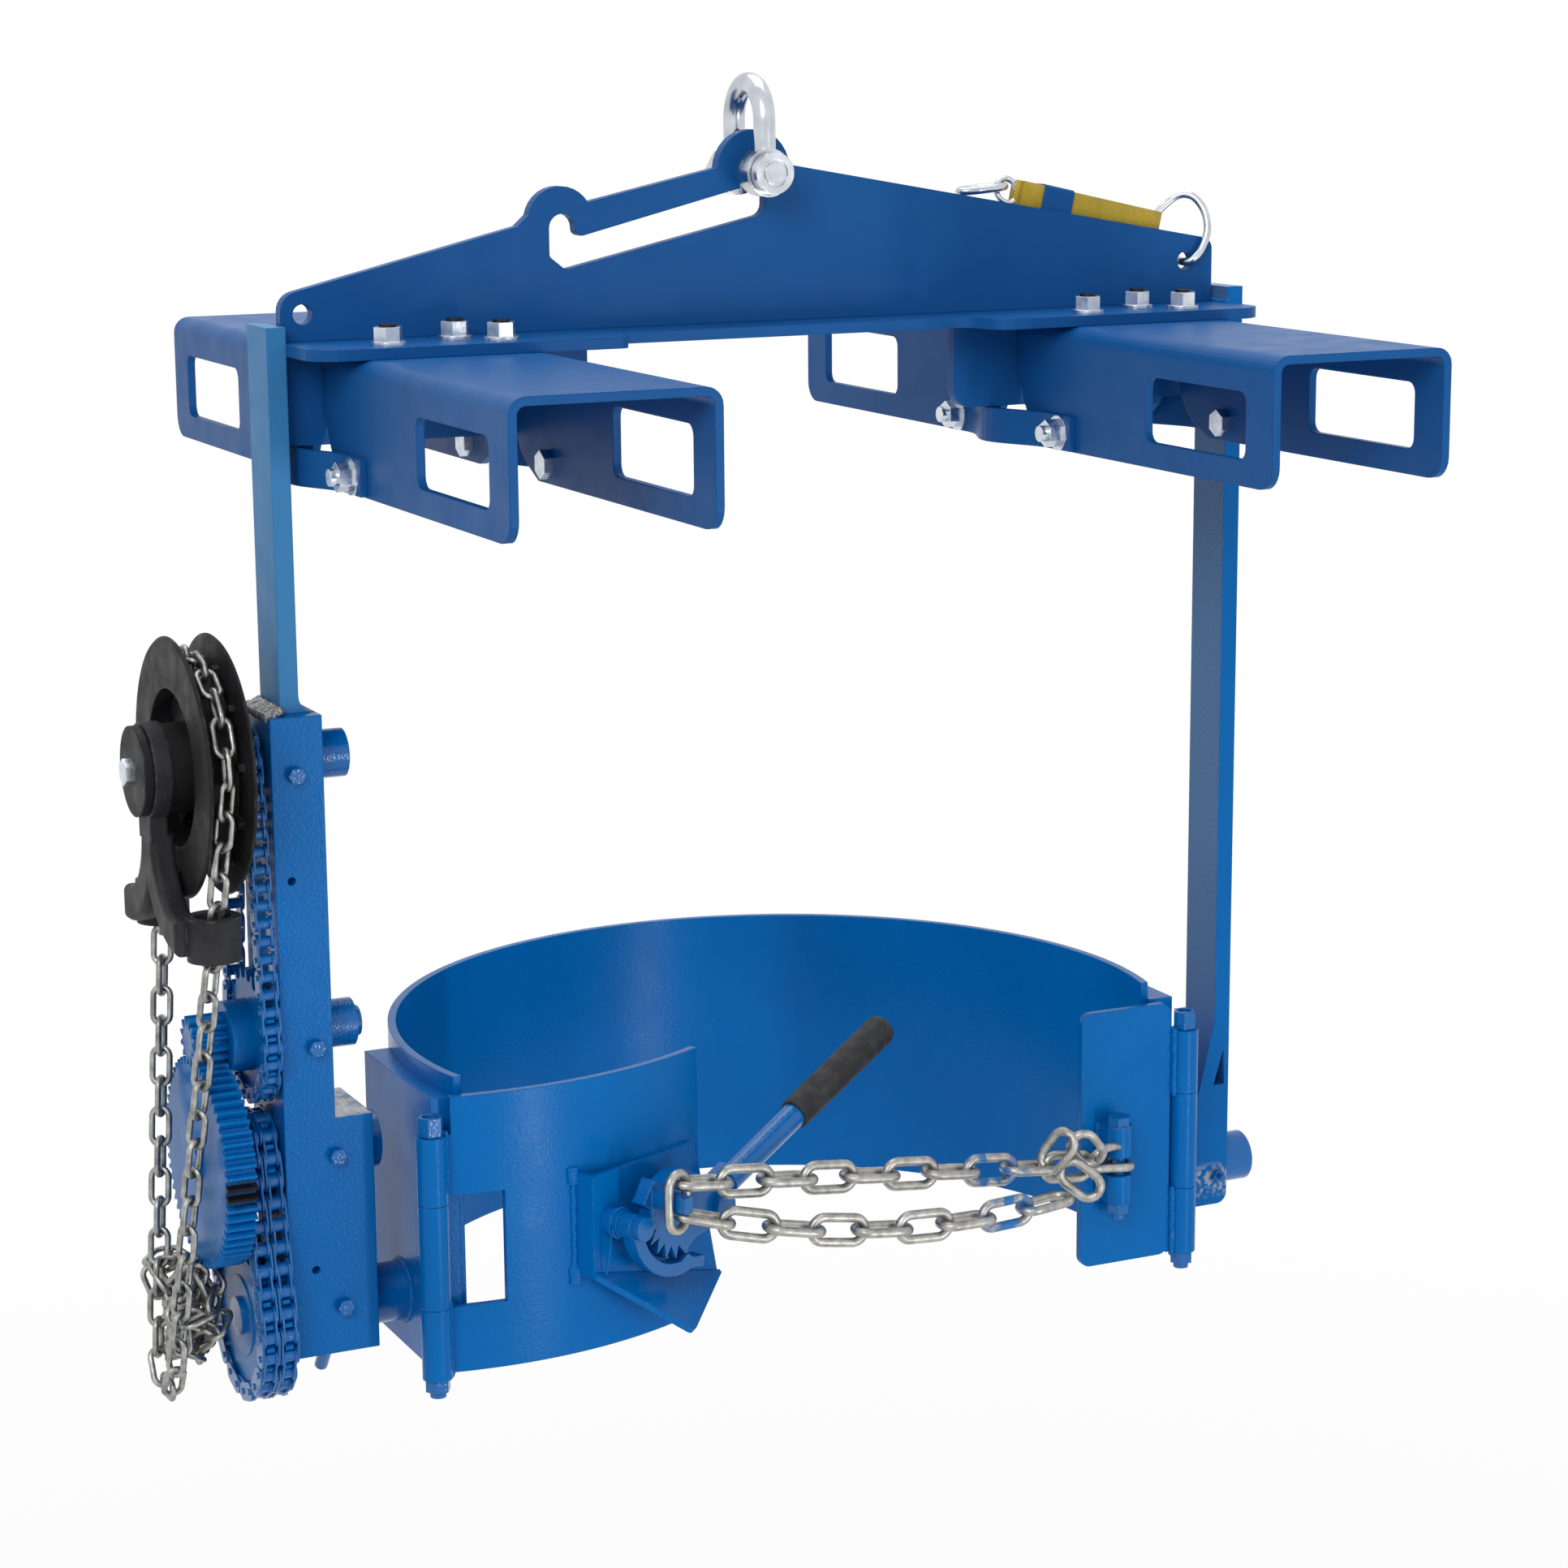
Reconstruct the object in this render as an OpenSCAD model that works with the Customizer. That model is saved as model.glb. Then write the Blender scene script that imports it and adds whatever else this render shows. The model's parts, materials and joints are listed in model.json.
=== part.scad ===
// Drum lifter: a carrier for a lift truck's forks or a hoist hook, with a ring that clamps
// round a drum and a hand-chain drive that tips the ring about its trunnions.
// Millimetres, X to the right, Y to the back, Z up. The origin is the middle of the
// base plate's underside, the face that lies on the two fork pockets.

/* [Drum and ring] */
// Diameter of the drum the ring takes
drum_d = 572; // [520:1:600]
// Room between the drum and the band
ring_gap = 5; // [3:0.5:8]
// Thickness of the ring band, the door and the leaf
band_t = 6; // [5:0.5:8]
// Height of the ring band
ring_h = 220; // [212:1:250]
// Height of the trunnions above the ring's lower edge
trunnion_up = 42; // [38:1:60]

/* [Frame] */
// Depth from the base plate's underside to the trunnions
trunnion_drop = 693; // [680:1:760]
// Room between the ring and each arm
side_room = 83; // [80:1:100]
// Thickness of the arm bars, across the object
arm_t = 14; // [12:1:18]
// Depth of the arm bars, front to back
arm_w = 44; // [40:1:60]
// Thickness of the base plate
base_t = 8; // [6:1:12]
// Thickness of the lifting plate and the webs
plate_t = 10; // [8:1:12]
// Height of the main lug above the base plate
lug_h = 139; // [134:1:160]
// Half depth of the base plate at its wide ends
base_half = 80; // [76:1:95]

/* [Fork pockets] */
// Outside width of a pocket
pocket_w = 145; // [135:1:160]
// Outside height of a pocket
pocket_h = 92; // [88:1:105]
// Length of a pocket, front to back
pocket_l = 720; // [680:1:800]
// Wall thickness of a pocket
pocket_t = 6; // [5:0.5:8]

/* [Shackle] */
// Diameter of the shackle pin
pin_d = 18; // [16:0.5:19]
// Diameter of the shackle bow's bar
bow_d = 16; // [14:0.5:18]

/* [Drive] */
// Tooth size (module) of the gear pair
gear_m = 2.5; // [2.4:0.05:2.6]
// Pitch of the hand chain, which also sets the size of its wheel
hand_p = 22; // [21:0.5:23]
// Wire of the hand chain
hand_d = 4.5; // [4:0.25:5]
// Wire of the clamp chain
clamp_d = 7; // [6:0.25:7.5]

/* [Hidden] */
$fn = 48;
e = 0.4;                                  // running gap between faces of moving parts
ring_ri = drum_d / 2 + ring_gap;
ring_ro = ring_ri + band_t;
tz = -trunnion_drop;                      // height of the trunnion axis
z0 = tz - trunnion_up;                    // the ring's lower edge
arm_in = ring_ro + side_room;
arm_out = arm_in + arm_t;
cheek_x = ring_ro + 12;                   // outer faces of the ring's side blocks
hinge_x = ring_ro + 16;
hinge_y = -84;
knuckle_r = 11;
foot_in = ring_ro + 65;                   // inner face of the right arm's foot
pocket_x = arm_in - 31 - pocket_w / 2;    // middle of each pocket
arm_top = base_t + 12;

// Gear column on the left and its four shafts, from the hand wheel down to the trunnion
col_t = 38;
col_half = 36;
col_l = -(arm_in + arm_t / 2) - col_t / 2;
col_r = col_l + col_t;
ext_r = -(ring_ro + 43);
pitch_1 = 12.7;
pitch_2 = 15.875;
small_n = 11;
large_n = 22;
pinion_n = 12;
gear_n = 60;
wrap_s = 2.5 * 360 / small_n;             // half the wrap on a small sprocket
wrap_l = 6.5 * 360 / large_n;             // half the wrap on a large sprocket
function prad(n, p) = p / (2 * sin(180 / n));
function span(p, run) =
    let(r1 = prad(small_n, p), r2 = prad(large_n, p), d = r2 * sin(wrap_l) - r1 * sin(wrap_s))
    sqrt(pow(run * p, 2) - d * d) - r1 * cos(wrap_s) - r2 * cos(wrap_l);
run_1 = 15;
run_2 = 7;
z4 = tz;
z3 = z4 + span(pitch_2, run_2);
z2 = z3 + gear_m * (pinion_n + gear_n) / 2;
z1 = z2 + span(pitch_1, run_1);
col_top = z1 + 35;
col_bot = tz - 27;
ext_top = z3 + 30;
shaft_d = [22, 22, 25, 28];
bush_d = [30, 30, 33, 34];
shaft_z = [z1, z2, z3, z4];
single_x = col_l - 10;                    // middle of the single roller chain
duplex_x = col_l - 16.2;                  // middle of the duplex roller chain
duplex_s = 7.1;                           // half the distance between its two strands
gear_x = [col_l - 55, col_l - 33];
wheel_x = col_l - 44;
wheel_half = 17;
wheel_n = 22;
hand_r = prad(wheel_n, hand_p);
wheel_r = hand_r + 15;
hub_l = wheel_x - wheel_half - 8;         // left end of the wheel's big hub
guide_x = hub_l - 13;                     // left face of the chain guide's ring

// Outline helpers
function unit(v) = v / norm(v);
function arc(c, r, a0, a1, n) =
    [for (i = [0:n]) let(a = a0 + (a1 - a0) * i / n) [c[0] + r * cos(a), c[1] + r * sin(a)]];
function fil(a, p, b, r, n) =
    let(u = unit(a - p), v = unit(b - p), h = acos(u * v) / 2, m = unit(u + v),
        c = p + m * (r / sin(h)), s = p + u * (r / tan(h)), t = p + v * (r / tan(h)),
        a0 = atan2(s[1] - c[1], s[0] - c[0]), d = atan2(t[1] - c[1], t[0] - c[0]) - a0)
    arc(c, r, a0, a0 + (d > 180 ? d - 360 : d < -180 ? d + 360 : d), n);
function flat(p) = [p[0], p[1]];
// Points are [x, y, corner radius]
function rounded(q, n = 6) = [for (i = [0:len(q) - 1]) let(k = len(q))
    each q[i][2] > 0 ? fil(flat(q[(i + k - 1) % k]), flat(q[i]), flat(q[(i + 1) % k]), q[i][2], n)
                     : [flat(q[i])]];
function box2(x0, y0, x1, y1, r) = rounded([[x0, y0, r], [x1, y0, r], [x1, y1, r], [x0, y1, r]]);

// An outline drawn in Y and Z, run along X from x0 to x1
module along_x(x0, x1) { translate([x0, 0, 0]) rotate([90, 0, 90]) linear_extrude(x1 - x0) children(); }
// An outline drawn in X and Z, run along Y from y0 back to y1
module along_y(y0, y1) { translate([0, y1, 0]) rotate([90, 0, 0]) linear_extrude(y1 - y0) children(); }
module rod_x(x0, x1, z, d, y = 0) { translate([x0, y, z]) rotate([0, 90, 0]) cylinder(d = d, h = x1 - x0); }
module rod_y(y0, y1, x, z, d) { translate([x, y1, z]) rotate([90, 0, 0]) cylinder(d = d, h = y1 - y0); }
module hex_x(x0, x1, y, z, af) { translate([x0, y, z]) rotate([0, 90, 0]) cylinder(d = af / cos(30), h = x1 - x0, $fn = 6); }

blue = [0.05, 0.36, 0.66];
zinc = [0.78, 0.79, 0.80];
iron = [0.10, 0.10, 0.11];
steel = [0.70, 0.71, 0.73];

// Lifting plate: upright plate along the object, with two lugs joined by one slanting slot
seat_r = pin_d / 2 + 1;
main_x = -17;
main_z = base_t + lug_h - 31;             // seat of the pin under the main lug
side_x = -167;
side_z = main_z - 35.5;                   // seat under the side lug
end_x = arm_in - 2;
hole_x = arm_in - 18;

module lifting_plate() {
    outline = concat(
        rounded([[-end_x, base_t, 0], [-end_x, base_t + 32, 14], [side_x - 34, side_z + 2, 0]]),
        arc([side_x - 1, side_z + 4.5], 25, 168, 32, 12),
        arc([main_x + 1, main_z + 2], 29, 176, 6, 16),
        rounded([[end_x - 12, base_t + 50, 0], [end_x - 2, base_t + 48, 9], [end_x - 2, base_t, 0]]));
    slot = concat(
        arc([side_x, side_z], seat_r, 162, 0, 9),
        arc([side_x + seat_r + 5, side_z - 1], 5, 180, 283, 5),
        [[main_x - seat_r, main_z - 11]],
        arc([main_x, main_z], seat_r, 180, 18, 9),
        rounded([[main_x + seat_r, main_z, 0], [main_x + seat_r, main_z - 30, 9],
                 [side_x + 2, main_z - 65, 6], [side_x - seat_r, side_z - 20, 4],
                 [side_x - seat_r, side_z, 0]]));
    color(blue) along_y(-plate_t / 2, plate_t / 2) difference() {
        polygon(outline);
        polygon(slot);
        translate([-hole_x, base_t + 19]) circle(d = 14);
        translate([hole_x - 10, base_t + 32]) circle(d = 14);
    }
}

// Bolts that hold each pocket to the base plate, three in front and three behind
bolt_d = 12;
pocket_bolt_at = [for (s = [-1, 1], k = [-1, 1]) each
    [[s * pocket_x - 42, 58 * k], [s * pocket_x + 16, 33 * k], [s * pocket_x + 41, 58 * k]]];

module base_plate() {
    neck = 148;
    strip = 45;
    q = [[-arm_in, -base_half, 24], [-neck, -base_half, 8], [-neck + 8, -strip, 8],
         [neck - 8, -strip, 14], [neck, -base_half, 14], [arm_in, -base_half, 24],
         [arm_in, base_half, 24], [neck, base_half, 14], [neck - 8, strip, 14],
         [-neck + 8, strip, 8], [-neck, base_half, 8], [-arm_in, base_half, 24]];
    color(blue) linear_extrude(base_t) difference() {
        polygon(rounded(q));
        for (p = pocket_bolt_at) translate(p) circle(d = bolt_d + 1);
    }
}

// Webs: two upright plates under the base plate that carry the pockets' load into the arms
web_h = 64;
module web_plates() {
    x0 = pocket_x - pocket_w / 2 - 0.5;
    x1 = pocket_x + pocket_w / 2 + 0.5;
    n = -pocket_t - 6;
    color(blue) for (s = [0, 1]) mirror([s, 0, 0]) along_y(-plate_t / 2, plate_t / 2)
        polygon(rounded([[x0 - 54, 0, 0], [x0, 0, 0], [x0, n, 0], [x1, n, 0], [x1, 0, 0],
                         [arm_in, 0, 0], [arm_in, -web_h, 0], [x0 - 54, -web_h, 14]]));
}

// Fork pockets: bent channels, open below, with windows near both ends and a notch for the web
strap_y = 79;
strap_z = -pocket_h + 14;
module pocket(cx) {
    w = pocket_w / 2;
    u = rounded([[-w, -pocket_h, 0], [-w, 0, 12], [w, 0, 12], [w, -pocket_h, 0],
                 [w - pocket_t, -pocket_h, 0], [w - pocket_t, -pocket_t, 6],
                 [-w + pocket_t, -pocket_t, 6], [-w + pocket_t, -pocket_h, 0]]);
    n = plate_t / 2 + 0.5;
    half = [[n, 1], [n, -44], [12, -49], [16, -60], [24, -73], [38, -83], [60, -pocket_h - 1]];
    color(blue) translate([cx, 0, 0]) difference() {
        along_y(-pocket_l / 2, pocket_l / 2) polygon(u);
        along_x(-w - 1, w + 1) difference() {
            union() {
                for (s = [-1, 1]) translate([s * (pocket_l / 2 - 100), 0])
                    polygon(box2(-66, -pocket_h + 18, 66, -27, 8));
                for (s = [-1, 1]) scale([s, 1]) polygon(concat(
                    [[pocket_l / 2 - 16, -pocket_h - 1], [pocket_l / 2 + 1, -pocket_h - 1],
                     [pocket_l / 2 + 1, -pocket_h + 16]],
                    arc([pocket_l / 2 - 16, -pocket_h + 16], 16, 0, -90, 6)));
            }
        }
        for (s = [-1, 1]) along_x(s * (w - pocket_t / 2) - pocket_t, s * (w - pocket_t / 2) + pocket_t)
            polygon(concat([for (i = [0:6]) [half[i][0], min(half[i][1], -pocket_t - 6)]],
                           [for (i = [6:-1:0]) [-half[i][0], min(half[i][1], -pocket_t - 6)]]));
        for (s = [-1, 1]) rod_x(-w - 1, w + 1, strap_z, bolt_d + 1, s * strap_y);
        for (p = pocket_bolt_at) if (abs(p[0] - cx) < w)
            translate([p[0] - cx, p[1], -pocket_t - 1]) cylinder(d = bolt_d + 1, h = pocket_t + 2);
    }
}
module pocket_left() { pocket(-pocket_x); }
module pocket_right() { pocket(pocket_x); }

// Curved straps that tie each wall together across its notch
strap_t = 5;
strap_b = 19;
strap_sides = [[-pocket_x - pocket_w / 2, -1], [-pocket_x + pocket_w / 2, 1],
               [pocket_x - pocket_w / 2, -1], [pocket_x + pocket_w / 2, 1]];
module pocket_straps() {
    function bow(y) = abs(y) > 64 ? 0 : strap_b * (1 + cos(180 * y / 64)) / 2;
    ys = concat([-94], [for (i = [-8:8]) 8 * i], [94]);
    q = concat([for (y = ys) [bow(y) + strap_t, y]], [for (i = [len(ys) - 1:-1:0]) [bow(ys[i]), ys[i]]]);
    color(blue) for (s = strap_sides) translate([s[0], 0, strap_z - 13]) scale([1, 1, 1])
        mirror([s[1] < 0 ? 1 : 0, 0, 0]) difference() {
            linear_extrude(26) polygon(q);
            for (y = [-strap_y, strap_y]) rod_x(-1, strap_t + 1, 13, bolt_d + 1, y);
        }
}
// Places one child at every strap bolt with the wall's outer face at x = 0, outward along +X
module at_strap_bolts() {
    for (s = strap_sides, y = [-strap_y, strap_y]) translate([s[0], y, strap_z])
        mirror([s[1] < 0 ? 1 : 0, 0, 0]) children();
}
washer_t = 2.5;
nut_t = 10;
module strap_bolts() {
    color(zinc) at_strap_bolts() {
        rod_x(-pocket_t, strap_t + washer_t + nut_t + 5, 0, bolt_d);
        hex_x(-pocket_t - 7.5, -pocket_t, 0, 0, 18);
    }
}
module strap_washer_set() {
    at_strap_bolts() difference() {
        rod_x(strap_t, strap_t + washer_t, 0, 26);
        rod_x(strap_t - 1, strap_t + washer_t + 1, 0, bolt_d);
    }
}
module strap_nuts() {
    color(zinc) strap_washer_set();
    color(zinc) at_strap_bolts() difference() {
        hex_x(strap_t + washer_t, strap_t + washer_t + nut_t, 0, 0, 18);
        rod_x(strap_t + washer_t - 1, strap_t + washer_t + nut_t + 1, 0, bolt_d);
    }
}

module pocket_bolts() {
    color(iron) for (p = pocket_bolt_at) translate([p[0], p[1], 0]) {
        translate([0, 0, -pocket_t]) cylinder(d = bolt_d, h = pocket_t + base_t + washer_t + nut_t + 2);
        translate([0, 0, -pocket_t - 7.5]) cylinder(d = 18 / cos(30), h = 7.5, $fn = 6);
    }
}
module pocket_washer_set() {
    for (p = pocket_bolt_at) translate([p[0], p[1], base_t]) difference() {
        cylinder(d = 24, h = washer_t);
        translate([0, 0, -1]) cylinder(d = bolt_d, h = washer_t + 2);
    }
}
module pocket_nuts() {
    color(zinc) pocket_washer_set();
    color(zinc) for (p = pocket_bolt_at) translate([p[0], p[1], base_t + washer_t]) difference() {
        cylinder(d = 18 / cos(30), h = nut_t, $fn = 6);
        translate([0, 0, -1]) cylinder(d = bolt_d, h = nut_t + 2);
    }
}

// Arms: flat bars at the two ends. The left one stands on the gear column, the right one
// thickens into a foot that holds the right trunnion.
module left_arm() {
    flare = arm_in + col_r;
    color(blue) along_y(-arm_w / 2, arm_w / 2) polygon(concat(
        [[-arm_out, arm_top], [-arm_out, col_top]],
        arc([col_r, col_top + flare], flare, 270, 180, 6), [[-arm_in, arm_top]]));
}
foot_bot = tz - 31;
foot_bore = 38;
module right_arm() {
    color(blue) difference() {
        along_y(-arm_w / 2, arm_w / 2) difference() {
            polygon(rounded([[arm_in, arm_top, 0], [arm_out, arm_top, 0], [arm_out, foot_bot, 9],
                             [foot_in, foot_bot, 3], [foot_in, tz + 48, 12], [arm_in, tz + 123, 20]]));
            polygon([[arm_out - 5, tz + 100], [arm_out - 4, tz + 70], [arm_out - 14, tz + 70]]);
        }
        rod_x(foot_in - 1, arm_out + 1, tz, foot_bore);
        rod_y(-arm_w / 2 - 1, 0, arm_out - 10, tz - 6, 6);
    }
}
module grease_nipple() {
    color(zinc) {
        rod_y(-arm_w / 2 - 2, -arm_w / 2 + 2, arm_out - 10, tz - 6, 6);
        hex_y(-arm_w / 2 - 5, -arm_w / 2 - 2, arm_out - 10, tz - 6, 9);
        rod_y(-arm_w / 2 - 11, -arm_w / 2 - 5, arm_out - 10, tz - 6, 5);
    }
}
module hex_y(y0, y1, x, z, af) { translate([x, y1, z]) rotate([90, 0, 0]) cylinder(d = af / cos(30), h = y1 - y0, $fn = 6); }

// Gear column: a thick plate that carries the four shafts in bushes
module gear_column() {
    color(blue) difference() {
        along_y(-col_half, col_half) polygon([[col_l, col_top], [col_r, col_top], [col_r, ext_top],
            [ext_r, ext_top], [ext_r, col_bot], [col_l, col_bot]]);
        for (i = [0:3]) rod_x(col_l - 1, ext_r + 1, shaft_z[i], bush_d[i]);
        for (p = screw_at) rod_y(-col_half - 1, -col_half + 16, p[0], p[1], 8);
        for (p = [[col_l + 12, z1 - 82], [col_l + 20, z4 + 38]]) rod_y(-col_half - 1, -col_half + 8, p[0], p[1], 6);
        translate([ext_r - 26, 0, col_bot]) rotate([38, 0, 0]) translate([0, 0, -10]) cylinder(d = 10, h = 17);
    }
}
screw_at = [[col_l + 17, z1 - 6], [col_l + 25, z2 - 6], [col_l + 38, z3 + 2], [col_l + 40, z4 + 8]];
module column_screws() {
    color(blue) for (p = screw_at) {
        rod_y(-col_half - 2, -col_half + 16, p[0], p[1], 8);
        hex_y(-col_half - 6, -col_half, p[0], p[1], 11);
    }
}
module chain_peg() {
    color(blue) translate([ext_r - 26, 0, col_bot]) rotate([38, 0, 0]) translate([0, 0, -38])
        cylinder(d = 10, h = 45);
}
module bushes() {
    color([0.70, 0.52, 0.28]) for (i = [0:3]) difference() {
        rod_x(col_l, i < 2 ? col_r : ext_r, shaft_z[i], bush_d[i]);
        rod_x(col_l - 1, ext_r + 1, shaft_z[i], shaft_d[i] + 0.1);
    }
    color([0.70, 0.52, 0.28]) difference() {
        rod_x(foot_in, arm_out, tz, foot_bore);
        rod_x(foot_in - 1, arm_out + 1, tz, shaft_d[3] + 0.1);
    }
}

// Toothed outlines
function sprocket_pts(n, p, roller, tip) =
    let(r = prad(n, p), s = roller + 0.3, ro = r + roller * 0.75)
    [for (i = [0:n - 1]) let(a = i * 360 / n) each concat(
        [for (f = [-62, -31, 0, 31, 62]) let(u = r - s * cos(f), v = s * sin(f))
            [u * cos(a) - v * sin(a), u * sin(a) + v * cos(a)]],
        [let(h = 180 / n - asin(tip / ro)) [ro * cos(a + h), ro * sin(a + h)],
         let(h = 180 / n + asin(tip / ro)) [ro * cos(a + h), ro * sin(a + h)]])];
function inv(a) = tan(a) * 180 / PI - a;
function gear_pts(n, m, shift) =
    let(r = m * n / 2, rb = r * cos(20), ro = r + m * (1 + shift), rr = r - m * (1.25 - shift),
        half = (90 + 2 * shift * tan(20) * 180 / PI) / n - 0.11 / r * 180 / PI,
        rs = max(rb, rr) + 0.001)
    [for (i = [0:n - 1]) let(a = i * 360 / n) each concat(
        rr < rs - 0.1 ? [polar(rr, a - half - inv(20))] : [],
        [for (k = [0:3]) let(q = rs + (ro - rs) * k / 3) polar(q, a - half - inv(20) + inv(acos(rb / q)))],
        [for (k = [3:-1:0]) let(q = rs + (ro - rs) * k / 3) polar(q, a + half + inv(20) - inv(acos(rb / q)))],
        rr < rs - 0.1 ? [polar(rr, a + half + inv(20))] : [])];
function polar(r, a) = [r * cos(a), r * sin(a)];
module at_shaft(i) { translate([0, 0, shaft_z[i]]) children(); }

// Hand wheel group on shaft 1
roller_1 = 4;
roller_2 = 5;
module hand_wheel() {
    g = 14.5;
    prof = [[56, -wheel_half], [wheel_r - 2, -wheel_half], [wheel_r, -wheel_half + 2], [wheel_r, -g],
            [hand_r - 12.5, -11.6], [hand_r - 12.5, 11.6], [wheel_r, g], [wheel_r, wheel_half - 2],
            [wheel_r - 2, wheel_half], [56, wheel_half]];
    color(iron) at_shaft(0) difference() {
        union() {
            translate([wheel_x, 0, 0]) rotate([0, 90, 0]) rotate_extrude($fn = 96) polygon(prof);
            rod_x(hub_l, wheel_x + wheel_half - 4, 0, 64);
            rod_x(guide_x - 0.5, hub_l, 0, 44);
            for (a = [45:90:315]) rotate([a, 0, 0]) translate([wheel_x - 2, -11, 28]) cube([12, 22, 30]);
            for (i = [0:10], s = [-1, 1]) rotate([(i + 0.5) * 720 / wheel_n, 0, 0])
                translate([wheel_x + (s > 0 ? 9 : -13.4), -2.5, hand_r - 13]) cube([4.4, 5, 11.5]);
        }
        rod_x(guide_x - 9, wheel_x + wheel_half + 1, 0, shaft_d[0]);
    }
}
module input_shaft() {
    color(steel) rod_x(guide_x - 0.5, col_r + 26, z1, shaft_d[0]);
}
module input_sprocket() {
    color(blue) at_shaft(0) difference() {
        union() {
            along_x(single_x - 3.5, single_x + 3.5) rotate(90 + 180 / small_n)
                polygon(sprocket_pts(small_n, pitch_1, roller_1, 1.2));
            rod_x(wheel_x + wheel_half, col_l - 0.8, 0, 28);
        }
        rod_x(wheel_x, col_l + 1, 0, shaft_d[0]);
    }
}
module wheel_cap() {
    color(iron) difference() {
        rod_x(guide_x - 7, guide_x - 0.5, z1, 64);
        rod_x(guide_x - 8, guide_x, z1, 10);
    }
}
module cap_bolt() {
    color(zinc) {
        hex_x(guide_x - 14, guide_x - 7, 0, z1, 17);
        rod_x(guide_x - 7, guide_x - 0.5, z1, 10);
    }
}
module collar(x0, x1, z, d, bore) {
    color(blue) difference() {
        rod_x(x0, x1, z, d);
        rod_x(x0 - 1, x1 + 1, z, bore);
    }
}
module input_collar() { collar(col_r + e, col_r + 26, z1, 35, shaft_d[0]); }

// Countershaft group on shaft 2
module counter_shaft() { color(blue) rod_x(gear_x[0] - 3, col_r + 31, z2, shaft_d[1]); }
module counter_sprocket() {
    color(blue) at_shaft(1) difference() {
        union() {
            along_x(single_x - 3.5, single_x + 3.5) rotate(-90 + 180 / large_n)
                polygon(sprocket_pts(large_n, pitch_1, roller_1, 1.2));
            rod_x(gear_x[1] + 1, single_x - 3.5, 0, 52);
            rod_x(single_x + 3.5, col_l - 0.8, 0, 32);
        }
        rod_x(gear_x[0] - 5, col_l + 1, 0, shaft_d[1]);
    }
}
module pinion() {
    color(blue) at_shaft(1) difference() {
        along_x(gear_x[0] - 3, gear_x[1] + 1) rotate(15) polygon(gear_pts(pinion_n, gear_m, 0.3));
        rod_x(gear_x[0] - 4, gear_x[1] + 2, 0, shaft_d[1]);
    }
}
module counter_collar() { collar(col_r + e, col_r + 26, z2, 35, shaft_d[1]); }

// Gear shaft group on shaft 3
module gear_shaft() { color(blue) rod_x(gear_x[0] - 3, ext_r + 12, z3, shaft_d[2]); }
module spur_gear() {
    color(blue) at_shaft(2) difference() {
        along_x(gear_x[0], gear_x[1]) polygon(gear_pts(gear_n, gear_m, -0.3));
        rod_x(gear_x[0] - 1, gear_x[1] + 1, 0, shaft_d[2]);
    }
}
module duplex(n, hub, bore, x0, x1, turn) {
    difference() {
        union() {
            for (s = [-1, 1]) along_x(duplex_x + s * duplex_s - 3.2, duplex_x + s * duplex_s + 3.2)
                rotate(turn) polygon(sprocket_pts(n, pitch_2, roller_2, 1.4));
            rod_x(x0, x1, 0, hub);
        }
        rod_x(x0 - 1, x1 + 1, 0, bore);
    }
}
module duplex_small() {
    color(blue) at_shaft(2) duplex(small_n, 37, shaft_d[2], gear_x[1], col_l - 0.8, 90 + 180 / small_n);
}
module gear_collar() { collar(ext_r + e, ext_r + 12, z3, 42, shaft_d[2]); }

// Ring group on the trunnions
module duplex_large() {
    color(blue) at_shaft(3) duplex(large_n, 60, shaft_d[3], duplex_x - duplex_s - 4, col_l - 0.8,
        -90 + 180 / large_n);
}
module trunnion_left() {
    color(blue) {
        rod_x(duplex_x - duplex_s - 7, -cheek_x, tz, shaft_d[3]);
        rod_x(ext_r + e, -cheek_x, tz, 44);
    }
}
module trunnion_right() {
    color(blue) {
        rod_x(cheek_x, arm_out + 26, tz, shaft_d[3]);
        rod_x(cheek_x, foot_in - e, tz, 44);
    }
}
module trunnion_collar() { collar(arm_out + e, arm_out + 26, tz, 40, shaft_d[3]); }

module ring_band() {
    color(blue) translate([0, 0, z0]) difference() {
        cylinder(r = ring_ro, h = ring_h, $fn = 180);
        translate([0, 0, -1]) cylinder(r = ring_ri, h = ring_h + 2, $fn = 180);
        translate([-ring_ro - 1, -ring_ro - 1, -1]) cube([2 * ring_ro + 2, ring_ro + 1 - 67, ring_h + 2]);
    }
}
// Heights of the knuckle joints above the ring's lower edge
knuckle_z = [2, 55.5, 133.5, 184];
hinge_d = 12;
hinge_af = 16.4;                          // across the flats of the hinge bolts
module cheek() {
    difference() {
        union() {
            translate([-cheek_x, -71.5, z0]) difference() {
                cube([40, 141, ring_h - 13]);
                translate([cheek_x, 71.5, -1]) cylinder(r = ring_ro, h = ring_h + 2, $fn = 180);
            }
            translate([-hinge_x, hinge_y, z0 + knuckle_z[1] + e]) {
                cylinder(r = knuckle_r, h = knuckle_z[2] - knuckle_z[1] - 2 * e);
                translate([-4, 0, 0]) cube([14, 14, knuckle_z[2] - knuckle_z[1] - 2 * e]);
            }
        }
        translate([-hinge_x, hinge_y, z0]) cylinder(d = hinge_d, h = ring_h);
    }
}
module cheek_left() { color(blue) cheek(); }
module cheek_right() { color(blue) mirror([1, 0, 0]) cheek(); }
module hinge_bolts() {
    color(blue) hinge_nut_set();
    color(blue) for (s = [-1, 1]) translate([s * hinge_x, hinge_y, z0]) {
        translate([0, 0, -12]) cylinder(d = hinge_d, h = knuckle_z[3] + 12 + 1);
        translate([0, 0, knuckle_z[3] + e]) difference() {
            cylinder(d = hinge_af / cos(30), h = 14, $fn = 6);
            translate([0, 0, 11]) cylinder(d = 12, h = 5);
        }
    }
}
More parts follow.
